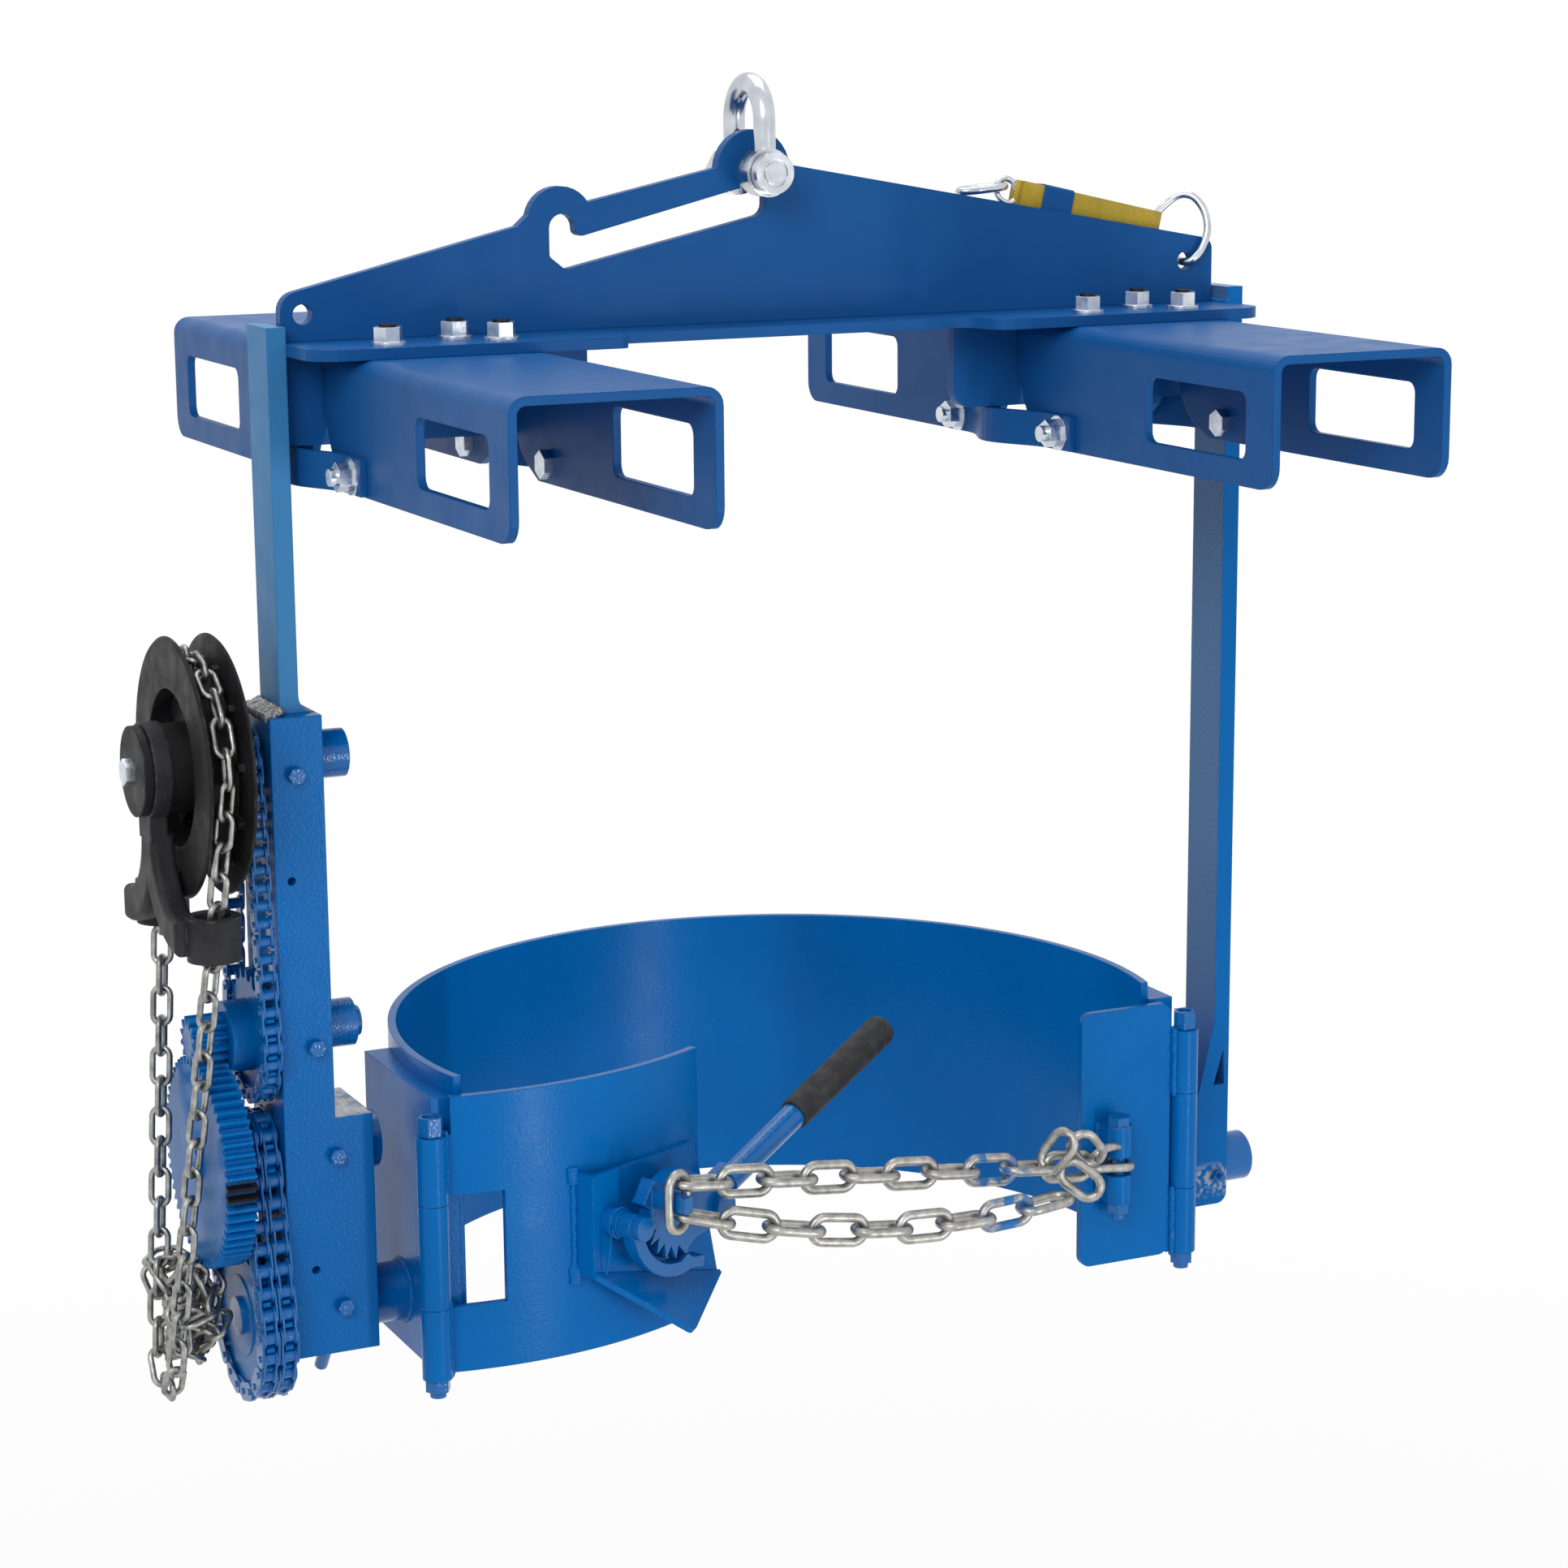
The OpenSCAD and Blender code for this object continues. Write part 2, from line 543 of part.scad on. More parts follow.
module hinge_nut_set() {
    for (s = [-1, 1]) translate([s * hinge_x, hinge_y, z0 + knuckle_z[0] - e - 9]) difference() {
        cylinder(d = hinge_af / cos(30), h = 9, $fn = 6);
        translate([0, 0, -1]) cylinder(d = hinge_d, h = 11);
    }
}
// The two end knuckles of a hinged part, solid
module end_knuckles(x) {
    for (k = [[0, 1], [2, 3]]) translate([x, hinge_y, z0 + knuckle_z[k[0]]])
        cylinder(r = knuckle_r, h = knuckle_z[k[1]] - knuckle_z[k[0]]);
}

// Door: curved like the ring, swung inwards, hinged on the left
door_rest = 76.56;                        // direction from the hinge to the door's centre of curvature
door_r = ring_ro + 5;                     // from that centre to the hinge, so the knuckles lie outside
door_cx = -hinge_x + door_r * cos(door_rest);
door_cy = hinge_y + door_r * sin(door_rest);
door_a0 = door_rest - 180;
door_a1 = door_a0 + 44.9;
module sector(r, a0, a1) { polygon(concat([[0, 0]], arc([0, 0], r, a0, a1, 4))); }
module door_plate() {
    color(blue) difference() {
        union() {
            translate([door_cx, door_cy, z0 + 3]) difference() {
                linear_extrude(207) intersection() {
                    difference() { circle(r = ring_ro, $fn = 180); circle(r = ring_ri, $fn = 180); }
                    sector(ring_ro * 1.2, door_a0, door_a1);
                }
                translate([0, 0, knuckle_z[1] - 6]) linear_extrude(knuckle_z[2] - knuckle_z[1] + 6)
                    sector(ring_ro * 1.2, door_a0 - 5, door_a0 + 10.3);
                translate([0, 0, knuckle_z[3] - 5]) linear_extrude(ring_h) sector(ring_ro * 1.2, door_a0 - 5, door_a0 + 2.8);
            }
            end_knuckles(-hinge_x);
        }
        translate([-hinge_x, hinge_y, z0 - 1]) cylinder(d = hinge_d + 0.15, h = ring_h);
    }
}

// Binder on the door's free end, drawn looking at its face: x along the door, z up, front at -y
bind_a = door_a0 + 38.1;
module at_binder() {
    translate([door_cx + ring_ro * cos(bind_a), door_cy + ring_ro * sin(bind_a), z0])
        rotate([0, 0, bind_a + 90]) children();
}
hub_c = [-25, 105];                       // turning centre of the ratchet
pawl_c = [-70, 104];
boss_c = [22, 97];                        // lever pivot
fold_u = -88;                             // left fold of the bracket
module binder_bracket() {
    color(blue) at_binder() difference() {
        union() {
            along_y(-5, 0) polygon(rounded([[fold_u, 141, 3], [24, 141, 3], [49, 28, 3], [fold_u, 63, 0]]));
            translate([fold_u, -5, 63]) rotate([0, atan2(35, 49 - fold_u), 0]) rotate([37, 0, 0]) mirror([0, 1, 0])
                linear_extrude(5) polygon(rounded([[0, -3, 0], [141, -3, 0], [141, 0, 0], [67, 54, 5], [0, 0, 0]]));
            translate([fold_u, -5, 63]) cube([5, 30, 78]);
            for (c = [hub_c, pawl_c]) rod_y(-19.6, -4, c[0], c[1], 20);
        }
        translate([0, ring_ro, -1]) cylinder(r = ring_ro, h = ring_h, $fn = 180);
        for (c = [hub_c, pawl_c]) rod_y(-30, 40, c[0], c[1], 12);
    }
}
module binder_pins() {
    color(blue) at_binder() {
        rod_y(-36, -0.5, hub_c[0], hub_c[1], 12);
        rod_y(-36, -0.5, pawl_c[0], pawl_c[1], 12);
        rod_y(-40, -32.4, pawl_c[0], pawl_c[1], 18);
    }
}
// Ratchet: toothed hub with the square finger that the chain hooks on and the lug of the lever
finger_at = [-50, 122];
module ratchet() {
    teeth = [for (i = [0:4]) each [polar(26, 196 + i * 18), polar(36, 210 + i * 18)]];
    color(blue) at_binder() difference() {
        union() {
            along_y(-32, -20) translate(hub_c) {
                polygon(concat(teeth, arc([0, 0], 31, 290, 552, 24)));
                translate(boss_c - hub_c) circle(r = 14);
                polygon([[0, 20], boss_c - hub_c + [2, 13.8], boss_c - hub_c + [-2, -13.8], [0, -26]]);
                translate(finger_at - hub_c) rotate(-35) square([18, 20], center = true);
            }
            translate([finger_at[0] - 4.5, -64, finger_at[1] - 6]) cube([9, 36, 12]);
        }
        rod_y(-40, -10, hub_c[0], hub_c[1], 12.15);
        rod_y(-40, -10, boss_c[0], boss_c[1], 12);
    }
}
module lever_pin() {
    color(blue) at_binder() {
        rod_y(-32.5, -6.4, boss_c[0], boss_c[1], 12);
        rod_y(-38, -32, boss_c[0], boss_c[1], 20);
    }
}
module pawl() {
    color(blue) at_binder() difference() {
        along_y(-32, -20) union() {
            translate(pawl_c) circle(r = 9.5);
            polygon(concat(
                [for (p = arc(hub_c, 49.2, 188, 286, 14)) p], [hub_c + polar(56, 298), hub_c + polar(50, 304)],
                [hub_c + polar(43, 292), hub_c + polar(36.8, 286), hub_c + polar(38, 278)],
                [for (p = arc(hub_c, 39.5, 274, 196, 12)) p]));
        }
        rod_y(-40, -10, pawl_c[0], pawl_c[1], 12.15);
    }
}
// Lever: end plate, tube and grip
lever_a = 22.4;
module at_lever() { at_binder() translate([boss_c[0], -17, boss_c[1]]) rotate([0, -lever_a, 0]) children(); }
module lever() {
    color(blue) at_lever() difference() {
        union() {
            along_y(-2.6, 10) union() { circle(r = 15); translate([0, -10]) square([34, 20]); }
            rod_x(26, 218, 0, 20);
        }
        rod_x(36, 219, 0, 15);
        rod_y(-20, 20, 0, 0, 12.15);
    }
}
module lever_grip() {
    color([0.06, 0.06, 0.06]) at_lever() rotate([0, 90, 0]) rotate_extrude()
        polygon([[10, 112], [12, 112], [12.5, 114], [12.5, 226], [11, 230], [7, 231], [0, 231], [0, 218.3], [10, 218.3]]);
}

// Leaf on the right hinge, with the two bosses that hold the end of the clamp chain
leaf_l = 94;
anchor_x = hinge_x - 69;
anchor_y = hinge_y - 17.5;
module leaf() {
    color(blue) difference() {
        union() {
            along_y(hinge_y - 3, hinge_y + 3) union() {
                polygon([for (p = box2(hinge_x - leaf_l, 2, hinge_x - 14, 207, 9)) [p[0], p[1] + z0]]);
                for (k = [[0, 1], [2, 3]]) translate([hinge_x - 16, z0 + knuckle_z[k[0]] + 1])
                    square([10, knuckle_z[k[1]] - knuckle_z[k[0]] - 2]);
            }
            end_knuckles(hinge_x);
            for (z = [57, 95]) translate([anchor_x, anchor_y, z0 + z]) {
                cylinder(r = 10, h = 23);
                translate([-10, 0, 0]) cube([20, 16, 23]);
            }
        }
        translate([hinge_x, hinge_y, z0 - 1]) cylinder(d = hinge_d + 0.15, h = ring_h);
        translate([anchor_x, anchor_y, z0]) cylinder(d = 10, h = ring_h);
    }
}
module anchor_bolt() {
    color(blue) anchor_nut();
    color(blue) translate([anchor_x, anchor_y, z0]) {
        translate([0, 0, 44]) cylinder(d = 10, h = 75);
        translate([0, 0, 118]) cylinder(d = 20, h = 1.6);
        translate([0, 0, 119.6]) cylinder(d = 16 / cos(30), h = 7, $fn = 6);
    }
}
module anchor_nut() {
    translate([anchor_x, anchor_y, z0 + 49]) difference() {
        cylinder(d = 16 / cos(30), h = 8, $fn = 6);
        translate([0, 0, -1]) cylinder(d = 10, h = 10);
    }
}

// One round-wire link about the origin, long axis along X, lying in X and Y
module wire_link(inner, wide, d) {
    r = (wide + d) / 2;
    s = inner / 2 - wide / 2;
    for (k = [-1, 1]) {
        translate([-s, k * r, 0]) rotate([0, 90, 0]) cylinder(d = d, h = 2 * s, $fn = 16);
        translate([k * s, 0, 0]) rotate([0, 0, k > 0 ? -90 : 90])
            rotate_extrude(angle = 180, $fn = 32) translate([r, 0]) circle(d = d, $fn = 16);
    }
}
// Puts a link with its middle at c and its long axis along v, turned by roll about that axis
module aim(c, v, roll) {
    translate(c) rotate([0, -asin(v[2] / norm(v)), atan2(v[1], v[0])]) rotate([roll, 0, 0]) children();
}

// Clamp chain: from the anchor bolt to the finger and loosely back
function bind_pt(u, w, z) = let(a = bind_a + 90, o = [door_cx + ring_ro * cos(bind_a), door_cy + ring_ro * sin(bind_a)])
    [o[0] + u * cos(a) + w * sin(a), o[1] + u * sin(a) - w * cos(a), z0 + z];
clamp_w = clamp_d + 5;
leg_pt = bind_pt(finger_at[0] + (clamp_w + clamp_d) / 2, 53, finger_at[1]);
top_a = [anchor_x, anchor_y, z0 + 87.5];
top_b = leg_pt + [0, 0, 12.2];
top_v = unit(top_b - top_a);
clamp_p = (norm(top_b - top_a) - 12 - 13.3) / 10;
clamp_in = clamp_p + 0.15;
function low_dir(i) = let(p = -15 + i * 2.3, y = -9 + i * 1.9) [cos(p) * cos(y), cos(p) * sin(y), sin(p)];
function low_pt(i) = i == 0 ? leg_pt - [0, 0, 12.2] + low_dir(0) * 13.3
    : low_pt(i - 1) + (low_dir(i - 1) + low_dir(i)) * clamp_p / 2;
module clamp_chain() {
    color(zinc) {
        for (i = [0:10]) aim(top_a + top_v * (12 + i * clamp_p), top_v, i % 2 ? 90 : 0)
            wire_link(clamp_in, clamp_w, clamp_d);
        translate(bind_pt(finger_at[0], 53, finger_at[1] + 0.3)) rotate([0, 0, bind_a + 90])
            rotate([0, -90, 0]) rotate([90, 0, 0]) wire_link(clamp_in, clamp_w, clamp_d);
        for (i = [0:8]) aim(low_pt(i), low_dir(i), i % 2 ? 90 : 0) wire_link(clamp_in, clamp_w, clamp_d);
    }
}

// Hand chain: over the wheel, down both sides through the guide and round below
hand_w = hand_d + 3.8;
hand_n = 20;
low_x = -39;
low_r = hand_p;
hand_dz = sqrt(pow(hand_n * hand_p, 2) - pow(hand_r - low_r, 2) - low_x * low_x);
function hand_pin(i) =
    i <= 11 ? [wheel_x, hand_r * cos(180 - i * 180 / 11), z1 + hand_r * sin(180 - i * 180 / 11)] :
    i <= 11 + hand_n ? let(t = (i - 11) / hand_n)
        [wheel_x + low_x * t, hand_r + (low_r - hand_r) * t, z1 - hand_dz * t] :
    i <= 14 + hand_n ? let(a = -(i - 11 - hand_n) * 60)
        [wheel_x + low_x, low_r * cos(a), z1 - hand_dz + low_r * sin(a)] :
    let(t = (i - 14 - hand_n) / hand_n)
        [wheel_x + low_x * (1 - t), -low_r + (low_r - hand_r) * t, z1 - hand_dz * (1 - t)];
module hand_chain() {
    n = 14 + 2 * hand_n;
    color(steel) for (i = [0:n - 1]) let(a = hand_pin(i), b = hand_pin((i + 1) % n))
        aim((a + b) / 2, b - a, i % 2 ? 0 : 90) wire_link(hand_p + 0.12, hand_w, hand_d);
}

// Chain guide: cast yoke that hangs on the wheel's journal and keeps the chain on the wheel
eye_z = -wheel_r - 4;
eye_y = hand_r - (hand_r - low_r) * (-eye_z + 14) / hand_dz;
eye_x = wheel_x + low_x * (-eye_z + 14) / hand_dz;
module chain_guide() {
    neck_z = -45;
    sweep_r = neck_z - eye_z + 11;
    color(iron) at_shaft(0) difference() {
        union() {
            rod_x(guide_x, hub_l - e, 0, 68);
            translate([guide_x, -14, neck_z - 4]) cube([hub_l - e - guide_x, 28, 24]);
            for (s = [0, 1]) mirror([0, s, 0]) {
                translate([guide_x + 9, -eye_y, neck_z]) rotate([0, 90, 0])
                    rotate_extrude(angle = 90, $fn = 72) translate([sweep_r, 0]) polygon(box2(-13, -9, 13, 9, 5));
                translate([eye_x, -eye_y, eye_z - 28]) cylinder(d = 38, h = 31);
            }
        }
        rod_x(guide_x - 20, hub_l + 1, 0, 44.15);
        for (s = [-1, 1]) translate([eye_x, s * eye_y, eye_z - 60]) cylinder(d = 26, h = 80);
    }
}

// Roller chains: pins lie in the sprockets' gaps, joined by straight runs
function chain_pin(i, p, run, za, zb) =
    let(ra = prad(small_n, p), rb = prad(large_n, p), sa = 360 / small_n, sb = 360 / large_n,
        a = [ra * sin(wrap_s), za + ra * cos(wrap_s)], b = [rb * sin(wrap_l), zb - rb * cos(wrap_l)])
    i <= 5 ? let(t = -wrap_s + i * sa) [ra * sin(t), za + ra * cos(t)] :
    i <= 5 + run ? a + (b - a) * (i - 5) / run :
    i <= 18 + run ? let(t = wrap_l - (i - 5 - run) * sb) [rb * sin(t), zb - rb * cos(t)] :
    let(t = (i - 18 - run) / run) [-b[0] + (b[0] - a[0]) * t, b[1] + (a[1] - b[1]) * t];
module plate_2d(p, h) {
    polygon(concat(arc([p / 2, 0], h, -90, 90, 6), arc([-p / 2, 0], h, 90, 270, 6)));
}
// A slice of a link, drawn along the chain, from x0 to x1 across it
module slice(x0, x1) { translate([0, 0, x0]) linear_extrude(x1 - x0) children(); }
module inner_link(p, roller, pin, h, in, t) {
    difference() {
        union() {
            for (s = [-1, 1]) slice(s > 0 ? in : -in - t, s > 0 ? in + t : -in) plate_2d(p, h);
            for (k = [-1, 1]) translate([k * p / 2, 0, -in - t / 2]) cylinder(r = roller, h = 2 * in + t, $fn = 24);
        }
        for (k = [-1, 1]) translate([k * p / 2, 0, -in - t - 1]) cylinder(r = pin + 0.1, h = 2 * (in + t + 1), $fn = 24);
    }
}
module outer_link(p, pin, h, x, out) {
    for (c = x) slice(c[0], c[1]) plate_2d(p, h);
    for (k = [-1, 1]) translate([k * p / 2, 0, -out]) cylinder(r = pin, h = 2 * out, $fn = 24);
}
module roller_chain(p, run, za, zb, x, roller, pin, h, in, t, strands) {
    n = 18 + 2 * run;
    o = strands == 1 ? 0 : duplex_s;
    color(blue) for (i = [0:n - 1])
        let(a = chain_pin(i, p, run, za, zb), b = chain_pin((i + 1) % n, p, run, za, zb), m = (a + b) / 2, d = b - a)
        translate([x, m[0], m[1]]) rotate([90, 0, 90]) rotate(atan2(d[1], d[0])) {
            if (i % 2 == 0) for (s = strands == 1 ? [0] : [-1, 1]) translate([0, 0, s * o]) inner_link(norm(d), roller, pin, h, in, t);
            else outer_link(norm(d), pin, h, strands == 1
                ? [for (s = [-1, 1]) let(c = s * (in + 1.5 * t + 0.15)) [c - t / 2, c + t / 2]]
                : [for (q = [-1, 1], s = [-1, 1]) let(c = q * o + s * (in + 1.5 * t + 0.15)) [c - t / 2, c + t / 2]],
                o + in + 2 * t + 1.2);
        }
}
module drive_chain() { roller_chain(pitch_1, run_1, z1, z2, single_x, roller_1, 2, 5.6, 3.8, 1.5, 1); }
module duplex_chain() { roller_chain(pitch_2, run_2, z3, z4, duplex_x, roller_2, 2.4, 6.9, 3.5, 1.5, 2); }

// Shackle: pin in the main lug's seat and a bow that swings on it
pin_z = main_z + 0.7;
module shackle_pin() {
    color(steel) shackle_nut();
    color(steel) {
        rod_y(-35, 40, main_x, pin_z, pin_d);
        difference() {
            rod_y(-44, -35 + 0.2, main_x, pin_z, pin_d + 12);
            rod_y(-46, -42.6, main_x, pin_z, pin_d + 2);
        }
        rod_y(-44, -40, main_x, pin_z, pin_d - 2);
    }
}
module shackle_nut() {
    difference() {
        hex_y(34.6, 45, main_x, pin_z, pin_d + 9);
        rod_y(34, 46, main_x, pin_z, pin_d);
    }
}
module shackle_bow() {
    leg = 37;
    half = 26;
    color(steel) translate([main_x, 0, pin_z]) difference() {
        union() {
            for (s = [-1, 1]) {
                translate([0, s * half, 0]) cylinder(d = bow_d, h = leg);
                translate([0, s * half + 8, 0]) rotate([90, 0, 0]) cylinder(d = pin_d + 17, h = 16);
            }
            translate([0, 0, leg]) rotate([90, 0, 90]) rotate_extrude(angle = 180) translate([half, 0]) circle(d = bow_d);
        }
        rod_y(-40, 40, 0, 0, pin_d + 0.15);
    }
}

// Safety strap: a folded webbing bundle behind the plate with a wire hook at each end
strap_tilt = 9.5;
strap_at = [arm_in - 106, base_t + 76];
module at_strap() { translate([strap_at[0], plate_t / 2, strap_at[1]]) rotate([0, strap_tilt, 0]) children(); }
module safety_strap() {
    color([0.95, 0.78, 0.05]) at_strap() translate([0, 16, 0]) along_y(-16, 0) difference() {
        polygon(box2(-66, -17, 66, 17, 8));
        for (s = [-1, 1]) translate([s * 56, 0]) circle(d = 14);
    }
}
module strap_band() {
    color(blue) at_strap() translate([-22, 0, 0]) difference() {
        translate([-14, 0, -19]) cube([28, 18, 38]);
        translate([-15, -1, -17]) cube([30, 17, 34]);
    }
}
// The right hook joins the strap's end to the plate's hole, the left one hangs free
module strap_hooks() {
    a = [hole_x - 10, base_t + 32];
    b = strap_at + [56 * cos(strap_tilt), -56 * sin(strap_tilt)];
    m = (a + b) / 2;
    w = plate_t + 19;
    color(steel) {
        translate([m[0], 8, m[1]]) rotate([0, -atan2(b[1] - a[1], b[0] - a[0]), 0])
            wire_link(norm(b - a) + 2.8, w, 5);
        at_strap() translate([-56 - 24, 8, 0]) wire_link(46, 20, 5);
    }
}

lifting_plate();
base_plate();
web_plates();
pocket_left();
pocket_right();
pocket_straps();
strap_bolts();
strap_nuts();
pocket_bolts();
pocket_nuts();
left_arm();
right_arm();
grease_nipple();
gear_column();
column_screws();
chain_peg();
bushes();
safety_strap();
strap_band();
strap_hooks();
hand_chain();
drive_chain();
duplex_chain();
chain_guide();
hand_wheel();
input_shaft();
input_sprocket();
wheel_cap();
cap_bolt();
input_collar();
counter_shaft();
counter_sprocket();
pinion();
counter_collar();
gear_shaft();
spur_gear();
duplex_small();
gear_collar();
duplex_large();
trunnion_left();
trunnion_right();
trunnion_collar();
ring_band();
cheek_left();
cheek_right();
hinge_bolts();
door_plate();
binder_bracket();
binder_pins();
ratchet();
lever_pin();
pawl();
lever();
lever_grip();
leaf();
anchor_bolt();
clamp_chain();
shackle_pin();
shackle_bow();
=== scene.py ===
"""Looks of a drum lifter: finishes, weld beads, chain tangles and the folded strap.

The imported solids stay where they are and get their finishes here. Pieces that are too
soft or too fine for solids are built around them, in metres and in the same frame.
"""

import json
import logging
import math
import random
from dataclasses import dataclass, field
from enum import Enum
from typing import Any, Iterable, Sequence

import bmesh  # noqa: E402
import bpy  # noqa: E402
from mathutils import Matrix, Vector  # noqa: E402

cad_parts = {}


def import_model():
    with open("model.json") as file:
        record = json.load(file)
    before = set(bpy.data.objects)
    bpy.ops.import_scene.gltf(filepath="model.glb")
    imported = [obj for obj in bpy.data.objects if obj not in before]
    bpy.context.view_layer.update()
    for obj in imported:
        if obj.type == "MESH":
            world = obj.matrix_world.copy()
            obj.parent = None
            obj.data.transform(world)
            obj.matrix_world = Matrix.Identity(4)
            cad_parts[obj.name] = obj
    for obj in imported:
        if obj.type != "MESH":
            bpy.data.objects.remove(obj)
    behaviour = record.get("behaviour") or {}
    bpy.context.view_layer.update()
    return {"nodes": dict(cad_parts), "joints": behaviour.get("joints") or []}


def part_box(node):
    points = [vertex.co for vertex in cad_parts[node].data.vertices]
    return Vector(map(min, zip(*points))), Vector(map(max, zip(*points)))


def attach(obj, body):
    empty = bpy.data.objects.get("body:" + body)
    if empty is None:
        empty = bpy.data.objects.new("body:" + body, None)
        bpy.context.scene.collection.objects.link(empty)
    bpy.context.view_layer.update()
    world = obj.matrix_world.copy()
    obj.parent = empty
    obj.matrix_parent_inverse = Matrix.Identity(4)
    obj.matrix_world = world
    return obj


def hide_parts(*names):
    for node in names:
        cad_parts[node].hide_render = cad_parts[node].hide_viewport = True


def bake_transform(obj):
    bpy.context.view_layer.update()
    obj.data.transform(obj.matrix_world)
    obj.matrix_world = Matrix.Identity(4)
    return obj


LOG = logging.getLogger("drum_lifter")
MM = 0.001
UP = Vector((0.0, 0.0, 1.0))
WHITE = (1.0, 1.0, 1.0, 1.0)

# Range that noise is cut to, and shares of the normal that tell an edge or a face that looks
# along an axis or against it.
CLOUDS = (0.3, 0.7)
EDGE_RANGE = (0.97, 0.80)
FACING_ALONG = (0.6, 0.9)
FACING_AGAINST = (-0.6, -0.9)
BEVEL_SAMPLES = 6

# Fineness of the wires, the chain links and the weld ripples.
TUBE_ROUND = 2
LINK_CORNERS = 5
LINK_ROUND = 0.499
LINK_SIDES = 8
RIPPLE_SIDES = 8
RIPPLE_RINGS = 5
RIPPLE_LEAST = (0.75, 0.85, 0.85)
RIPPLE_MOST = (1.05, 1.15, 1.15)

Point = tuple[float, float, float]
Colour = tuple[float, float, float]
Pair = tuple[float, float]
Material = bpy.types.Material
Mesh = bpy.types.Mesh
Socket = bpy.types.NodeSocket
Thing = bpy.types.Object


class Slot(Enum):
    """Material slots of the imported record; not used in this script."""

    BLUE = "blue_paint"
    GALVANISED = "galvanised"
    STEEL = "bright_steel"
    WEBBING = "webbing"


class Body(Enum):
    """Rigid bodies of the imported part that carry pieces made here."""

    FRAME = "frame"
    RING = "ring"
    DOOR = "door"
    LEAF = "leaf"
    GUIDE = "guide"


class Nodes:
    """Adds nodes to a tree and joins them."""

    def __init__(self, tree: bpy.types.NodeTree) -> None:
        """Hold a tree and empty it."""
        self.tree = tree
        tree.nodes.clear()

    def add(
        self, kind: str, inputs: dict[str | int, Any] | None = None, **settings: Any
    ) -> bpy.types.Node:
        """Add a node.

        Args:
            kind: Blender's name of the node type.
            inputs: A socket to join or a value to set, by the input's name or number.
            settings: Properties to set on it first.

        Returns:
            The new node.
        """
        node = self.tree.nodes.new(kind)
        for key, value in settings.items():
            setattr(node, key, value)
        for key, value in (inputs or {}).items():
            self.feed(value, node.inputs[key])
        return node

    def feed(self, value: Any, target: Socket) -> None:
        """Join a socket to an input, or set a plain value on it.

        Args:
            value: The socket or the value.
            target: The input.
        """
        if isinstance(value, Socket):
            self.tree.links.new(value, target)
        else:
            target.default_value = value

    def math(self, kind: str, a: Any, b: Any) -> Socket:
        """One sum on two values, each a socket or a number."""
        return self.add("ShaderNodeMath", {0: a, 1: b}, operation=kind).outputs[0]

    def times(self, a: Any, b: Any) -> Socket:
        """The product of two values, such as two masks."""
        return self.math("MULTIPLY", a, b)

    def spread(self, value: Socket, low: float, high: float, to: Pair = (0.0, 1.0)) -> Socket:
        """Map the range from low to high of a value to another range, clamped."""
        ends = {"From Min": low, "From Max": high, "To Min": to[0], "To Max": to[1]}
        return self.add("ShaderNodeMapRange", {"Value": value, **ends}).outputs[0]


